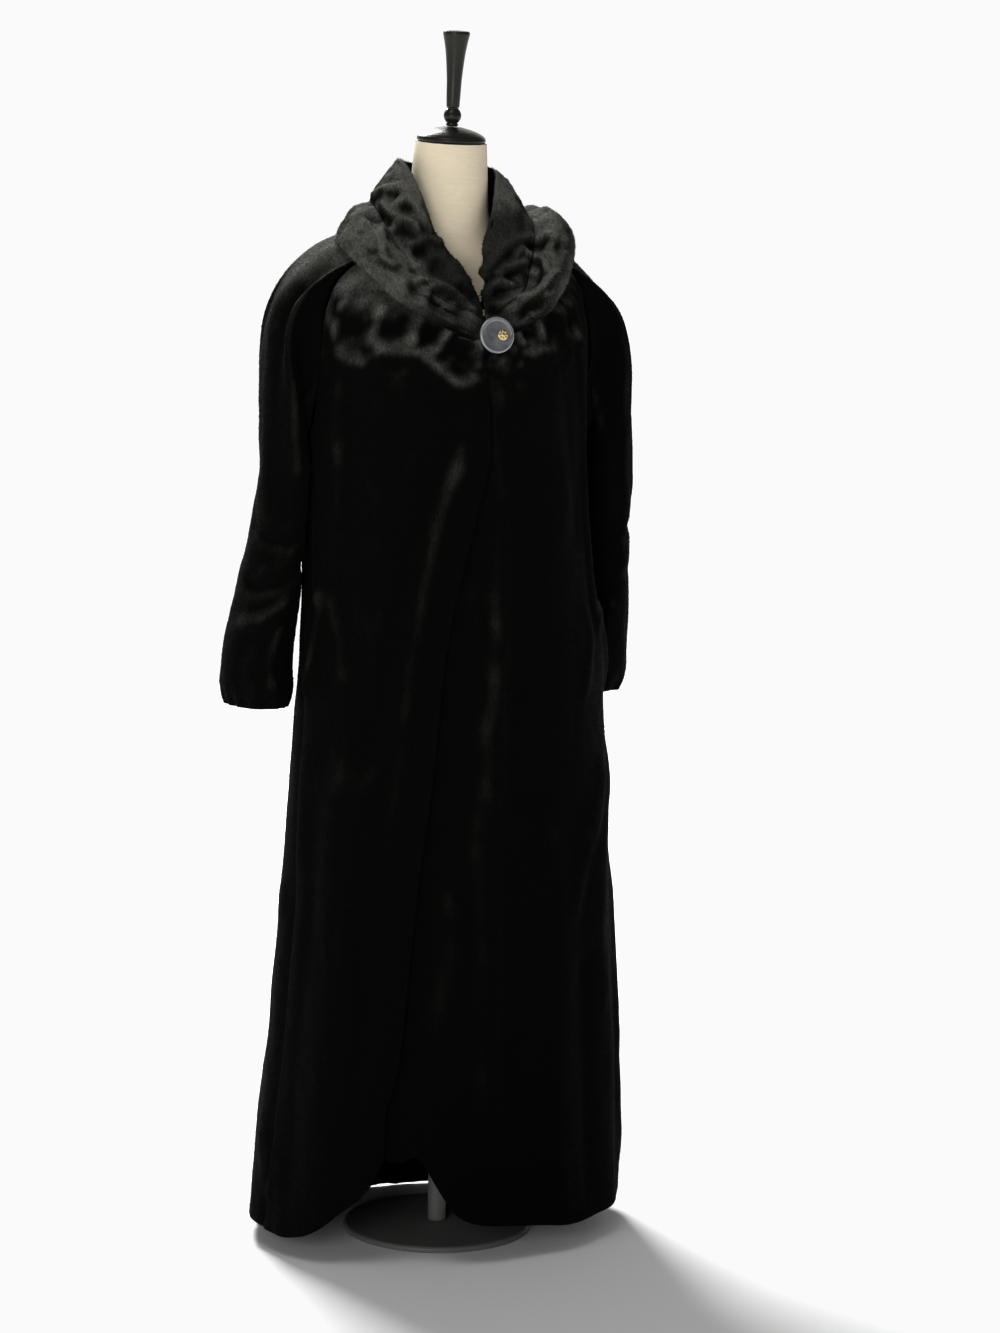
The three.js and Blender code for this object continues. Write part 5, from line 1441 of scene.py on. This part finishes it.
def painted_material():
    mat, tree, shader = principled("stand_paint", Roughness=0.6)
    coord = node(tree, "ShaderNodeTexCoord")
    peel = node(tree, "ShaderNodeTexNoise", Scale=380.0, Detail=2.0)
    link(tree, coord, "Object", peel, "Vector")
    tone = node(tree, "ShaderNodeTexNoise", Scale=9.0, Detail=4.0)
    link(tree, coord, "Object", tone, "Vector")
    ramp = node(tree, "ShaderNodeValToRGB")
    ramp.color_ramp.elements[0].color = (0.095, 0.095, 0.092, 1)
    ramp.color_ramp.elements[1].color = (0.13, 0.13, 0.126, 1)
    link(tree, tone, "Fac", ramp, "Fac")
    link(tree, ramp, "Color", shader, "Base Color")
    b = node(tree, "ShaderNodeBump", Strength=0.12, Distance=0.0004)
    link(tree, peel, "Fac", b, "Height")
    link(tree, b, "Normal", shader, "Normal")
    return mat


def button_material():
    """Smoky grey resin, cloudy inside, polished, with a pale rim."""
    mat, tree, shader = principled("button_resin", Roughness=0.12)
    shader.inputs["Transmission Weight"].default_value = 0.0
    shader.inputs["Coat Weight"].default_value = 0.5
    shader.inputs["Coat Roughness"].default_value = 0.05
    coord = node(tree, "ShaderNodeTexCoord")
    cloud = node(tree, "ShaderNodeTexNoise", Scale=70.0, Detail=4.0, Roughness=0.55)
    link(tree, coord, "Object", cloud, "Vector")
    ramp = node(tree, "ShaderNodeValToRGB")
    ramp.color_ramp.elements[0].position, ramp.color_ramp.elements[1].position = 0.3, 0.72
    ramp.color_ramp.elements[0].color = (0.055, 0.058, 0.063, 1)
    ramp.color_ramp.elements[1].color = (0.125, 0.13, 0.138, 1)
    link(tree, cloud, "Fac", ramp, "Fac")
    rim = node(tree, "ShaderNodeAttribute", attribute_name="rim")
    mixer = node(tree, "ShaderNodeMix", data_type="RGBA")
    mixer.inputs[7].default_value = (0.17, 0.185, 0.195, 1)
    tree.links.new(rim.outputs["Fac"], mixer.inputs[0])
    tree.links.new(ramp.outputs["Color"], mixer.inputs[6])
    tree.links.new(mixer.outputs[2], shader.inputs["Base Color"])
    b = node(tree, "ShaderNodeBump", Strength=0.05, Distance=0.0005)
    link(tree, cloud, "Fac", b, "Height")
    link(tree, b, "Normal", shader, "Normal")
    return mat


def gold_material():
    mat, tree, shader = principled("pale_gold", Metallic=1.0, Roughness=0.3)
    coord = node(tree, "ShaderNodeTexCoord")
    wear = node(tree, "ShaderNodeTexNoise", Scale=300.0, Detail=3.0)
    link(tree, coord, "Object", wear, "Vector")
    ramp = node(tree, "ShaderNodeValToRGB")
    ramp.color_ramp.elements[0].color = (0.42, 0.30, 0.13, 1)
    ramp.color_ramp.elements[1].color = (0.72, 0.55, 0.29, 1)
    link(tree, wear, "Fac", ramp, "Fac")
    link(tree, ramp, "Color", shader, "Base Color")
    r = math_node(tree, "MULTIPLY_ADD", wear.outputs["Fac"], 0.25)
    r.node.inputs[2].default_value = 0.2
    tree.links.new(r, shader.inputs["Roughness"])
    return mat


def woven_black(name, scale):
    mat, tree, shader = principled(name, Roughness=0.85)
    shader.inputs["Specular IOR Level"].default_value = 0.2
    coord = node(tree, "ShaderNodeTexCoord")
    a = node(tree, "ShaderNodeTexWave", Scale=scale, Distortion=0.4, Detail=1.0)
    a.bands_direction = "Z"
    link(tree, coord, "Object", a, "Vector")
    c = node(tree, "ShaderNodeTexWave", Scale=scale, Distortion=0.4, Detail=1.0)
    c.bands_direction = "X"
    link(tree, coord, "Object", c, "Vector")
    h = math_node(tree, "MULTIPLY", a.outputs["Fac"], c.outputs["Fac"])
    ramp = node(tree, "ShaderNodeValToRGB")
    ramp.color_ramp.elements[0].color = (0.006, 0.006, 0.006, 1)
    ramp.color_ramp.elements[1].color = (0.022, 0.022, 0.022, 1)
    tree.links.new(h, ramp.inputs["Fac"])
    link(tree, ramp, "Color", shader, "Base Color")
    b = node(tree, "ShaderNodeBump", Strength=0.4, Distance=0.0005)
    tree.links.new(h, b.inputs["Height"])
    link(tree, b, "Normal", shader, "Normal")
    return mat


def floor_material():
    """Matt white floor; away from the coat it glows by emission, though it is no lamp: painted light that holds the
    far floor white, while near the coat it shows only the lamps' light and cast shadow.
    """
    mat, tree, shader = principled("pale_floor", Roughness=1.0)
    shader.inputs["Base Color"].default_value = (0.9, 0.9, 0.9, 1)
    shader.inputs["Specular IOR Level"].default_value = 0.0
    shader.inputs["Emission Color"].default_value = (1, 1, 1, 1)
    coord = node(tree, "ShaderNodeTexCoord")
    far = node(tree, "ShaderNodeVectorMath")
    far.operation = "LENGTH"
    link(tree, coord, "Object", far, 0)
    span = node(tree, "ShaderNodeMapRange", interpolation_type="SMOOTHSTEP")
    span.inputs["From Min"].default_value, span.inputs["From Max"].default_value = 0.7, 1.9
    span.inputs["To Min"].default_value, span.inputs["To Max"].default_value = 0.0, 1.1
    link(tree, far, "Value", span, "Value")
    # painted light: emission strength rises from none near the coat to full glow far from it
    link(tree, span, "Result", shader, "Emission Strength")
    return mat


# ------------------------------------------------------------------ assembly
def dress(obj, material, slot, *nodes):
    obj.data.materials.append(material)
    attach(obj, "root")
    if nodes:
        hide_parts(*nodes)
    return obj


def coat_piece(pair, cad_node):
    cloth, pile = pair
    dress(cloth, fur, "fur", cad_node)
    dress(pile, pile_mat, "fur")


SHARE = 1.0
K = (lambda n: 2 * int(n * 1.0 / 2))
coat_piece(body_piece("back", back_panel, K(150), K(250), False, 101, int(21000 * SHARE)), "back")
coat_piece(body_piece("front_right", front_right, K(84), K(246), True, 102, int(12000 * SHARE)), "front_right")
coat_piece(body_piece("front_left", front_left, K(104), K(246), False, 103, int(15000 * SHARE)), "front_left")
coat_piece(sleeve_piece("right", SLEEVE_RIGHT, SLEEVE_CREASES_RIGHT, -1, 0.6, K(84), K(150), False, 104, int(10000 * SHARE)), "sleeve_right")
coat_piece(sleeve_piece("left", SLEEVE_LEFT, SLEEVE_CREASES_LEFT, 1, 0.42, K(84), K(150), True, 105, int(10000 * SHARE)), "sleeve_left")
for side, tab, puckers, ridges, catch, flip, seed in (("right", HOOD_RIGHT, PUCKERS_RIGHT, RIDGES_RIGHT, CATCH_RIGHT, False, 106),
                                                      ("left", HOOD_LEFT, PUCKERS_LEFT, RIDGES_LEFT, CATCH_LEFT, True, 107)):
    inner, border = hood_side(side, tab, puckers, ridges, catch, flip, seed, (int(5500 * SHARE), int(12000 * SHARE)))
    coat_piece(inner, "hood_inner_%s" % side)
    coat_piece(border, "hood_border_%s" % side)

lining = woven_black("pocket_cloth", 260.0)
for side, sign in (("right", -1), ("left", 1)):
    u, v = np.meshgrid(edge_steps(24, 150, False), edge_steps(24, 200, False), indexing="ij")
    level = mix(POCKET_LOW - 55, POCKET_HIGH + 12, v)
    angle = sign * mix(SIDE_SEAM_ANGLE - 30, SIDE_SEAM_ANGLE + 8, u)
    p = body_point(angle, level, -WALL - 9)
    n = grid_normals(p, flip=sign < 0)
    p = p + n * (1.2 * fbm(p, 40.0, seed=40 + sign, octaves=2) - 0.6)[..., None]
    n = grid_normals(p, flip=sign < 0)
    bag = sheet_mesh("pocket_bag_%s_cloth" % side, p, n, 4.6, flip=sign < 0)
    dress(bag, lining, "pocket_cloth", "pocket_bag_%s" % side)

R, T = 24.0, 5.5
disc = lathe("button_disc", [
    (0, T / 2 - 1.5), (R - 5.5, T / 2 - 1.3), (R - 3.4, T / 2 - 0.2), (R - 1.6, T / 2), (R - 0.2, T / 2 - 1.1), (R, -T / 2 + 1.8),
    (R - 2, -T / 2), (3.2, -T / 2), (3.0, -T / 2 - 8), (0, -T / 2 - 8)], 96, BUTTON)
co = np.array([v.co[:] for v in disc.data.vertices]) * 1000
inv = np.array(BUTTON.inverted())
local = co @ inv[:3, :3].T + inv[:3, 3]
rad = np.hypot(local[:, 0], local[:, 1])
disc.data.attributes.new("rim", "FLOAT", "POINT").data.foreach_set("value", (smooth(R - 2.8, R - 1.4, rad)).astype(np.float32))
crown_edges(disc, 40)
dress(disc, button_material(), "button_resin", "button")
dress(rosette(), gold_material(), "inlay_metal", "button_inlay")
loop = tube("button_loop_cord", [(-38, -131.5, 1244), (-16, -134.5, 1245.5), (6, -139.0, 1246), (18.6, -139.8, 1240), (6, -139.6, 1233.8), (-16, -136, 1234), (-38, -133, 1238)], 1.3)
dress(loop, woven_black("loop_cord", 420.0), "loop_cord", "button_loop")

dress(torso(), linen_material(), "form_linen", "form_torso")
lacquer = lacquer_material()
cap = lathe("neck_cap", [(0, 5.2), (CAP_R - 3, 5.2), (CAP_R - 0.8, 6.2), (CAP_R, 8.6), (CAP_R - 1.2, 12.0), (CAP_R - 5, 15.2), (CAP_R - 12, 18.8),
                         (CAP_R - 22, 22), (CAP_R - 30, 23.8), (13, 24.7), (0, 25)], 128, NECK_TOP)
dress(cap, lacquer, "black_lacquer", "form_cap")
f0 = 25.6
finial = lathe("finial_turning", [(0, f0), (7, f0), (8.6, f0 + 2), (7.0, f0 + 4.5), (9.2, f0 + 6.4), (11.2, f0 + 10), (12, f0 + 14), (11.2, f0 + 18), (9.2, f0 + 21.6),
                                  (7.2, f0 + 23.5), (8.8, f0 + 26), (9.4, f0 + 40), (10, f0 + 60), (11.4, f0 + 78), (13.2, f0 + 96), (15.6, f0 + 110), (17.4, f0 + 118),
                                  (18.2, f0 + 122), (16.6, f0 + 125), (0, f0 + 126)], 96, NECK_TOP)
crown_edges(finial, 60)
dress(finial, lacquer, "black_lacquer", "form_finial")
paint = painted_material()
pole = lathe("pole_tube", [(0, 8.4), (12.5, 8.4), (12.5, 60), (12.5, 779), (0, 779)], 64)
crown_edges(pole, 40)
dress(pole, paint, "stand_paint", "stand_pole")
base = lathe("base_plate", [(0, 0), (129, 0), (130, 1.2), (130, 6), (127, 8), (24, 8), (22, 8.0), (0, 8.0)], 128)
crown_edges(base, 40)
dress(base, paint, "stand_paint", "stand_base")

floor_mesh = bpy.data.meshes.new("floor")
floor_mesh.from_pydata([(-60, -60, -0.0005), (60, -60, -0.0005), (60, 60, -0.0005), (-60, 60, -0.0005)], [], [(0, 1, 2, 3)])
floor = bpy.data.objects.new("floor", floor_mesh)
floor.data.materials.append(floor_material())
scene.collection.objects.link(floor)
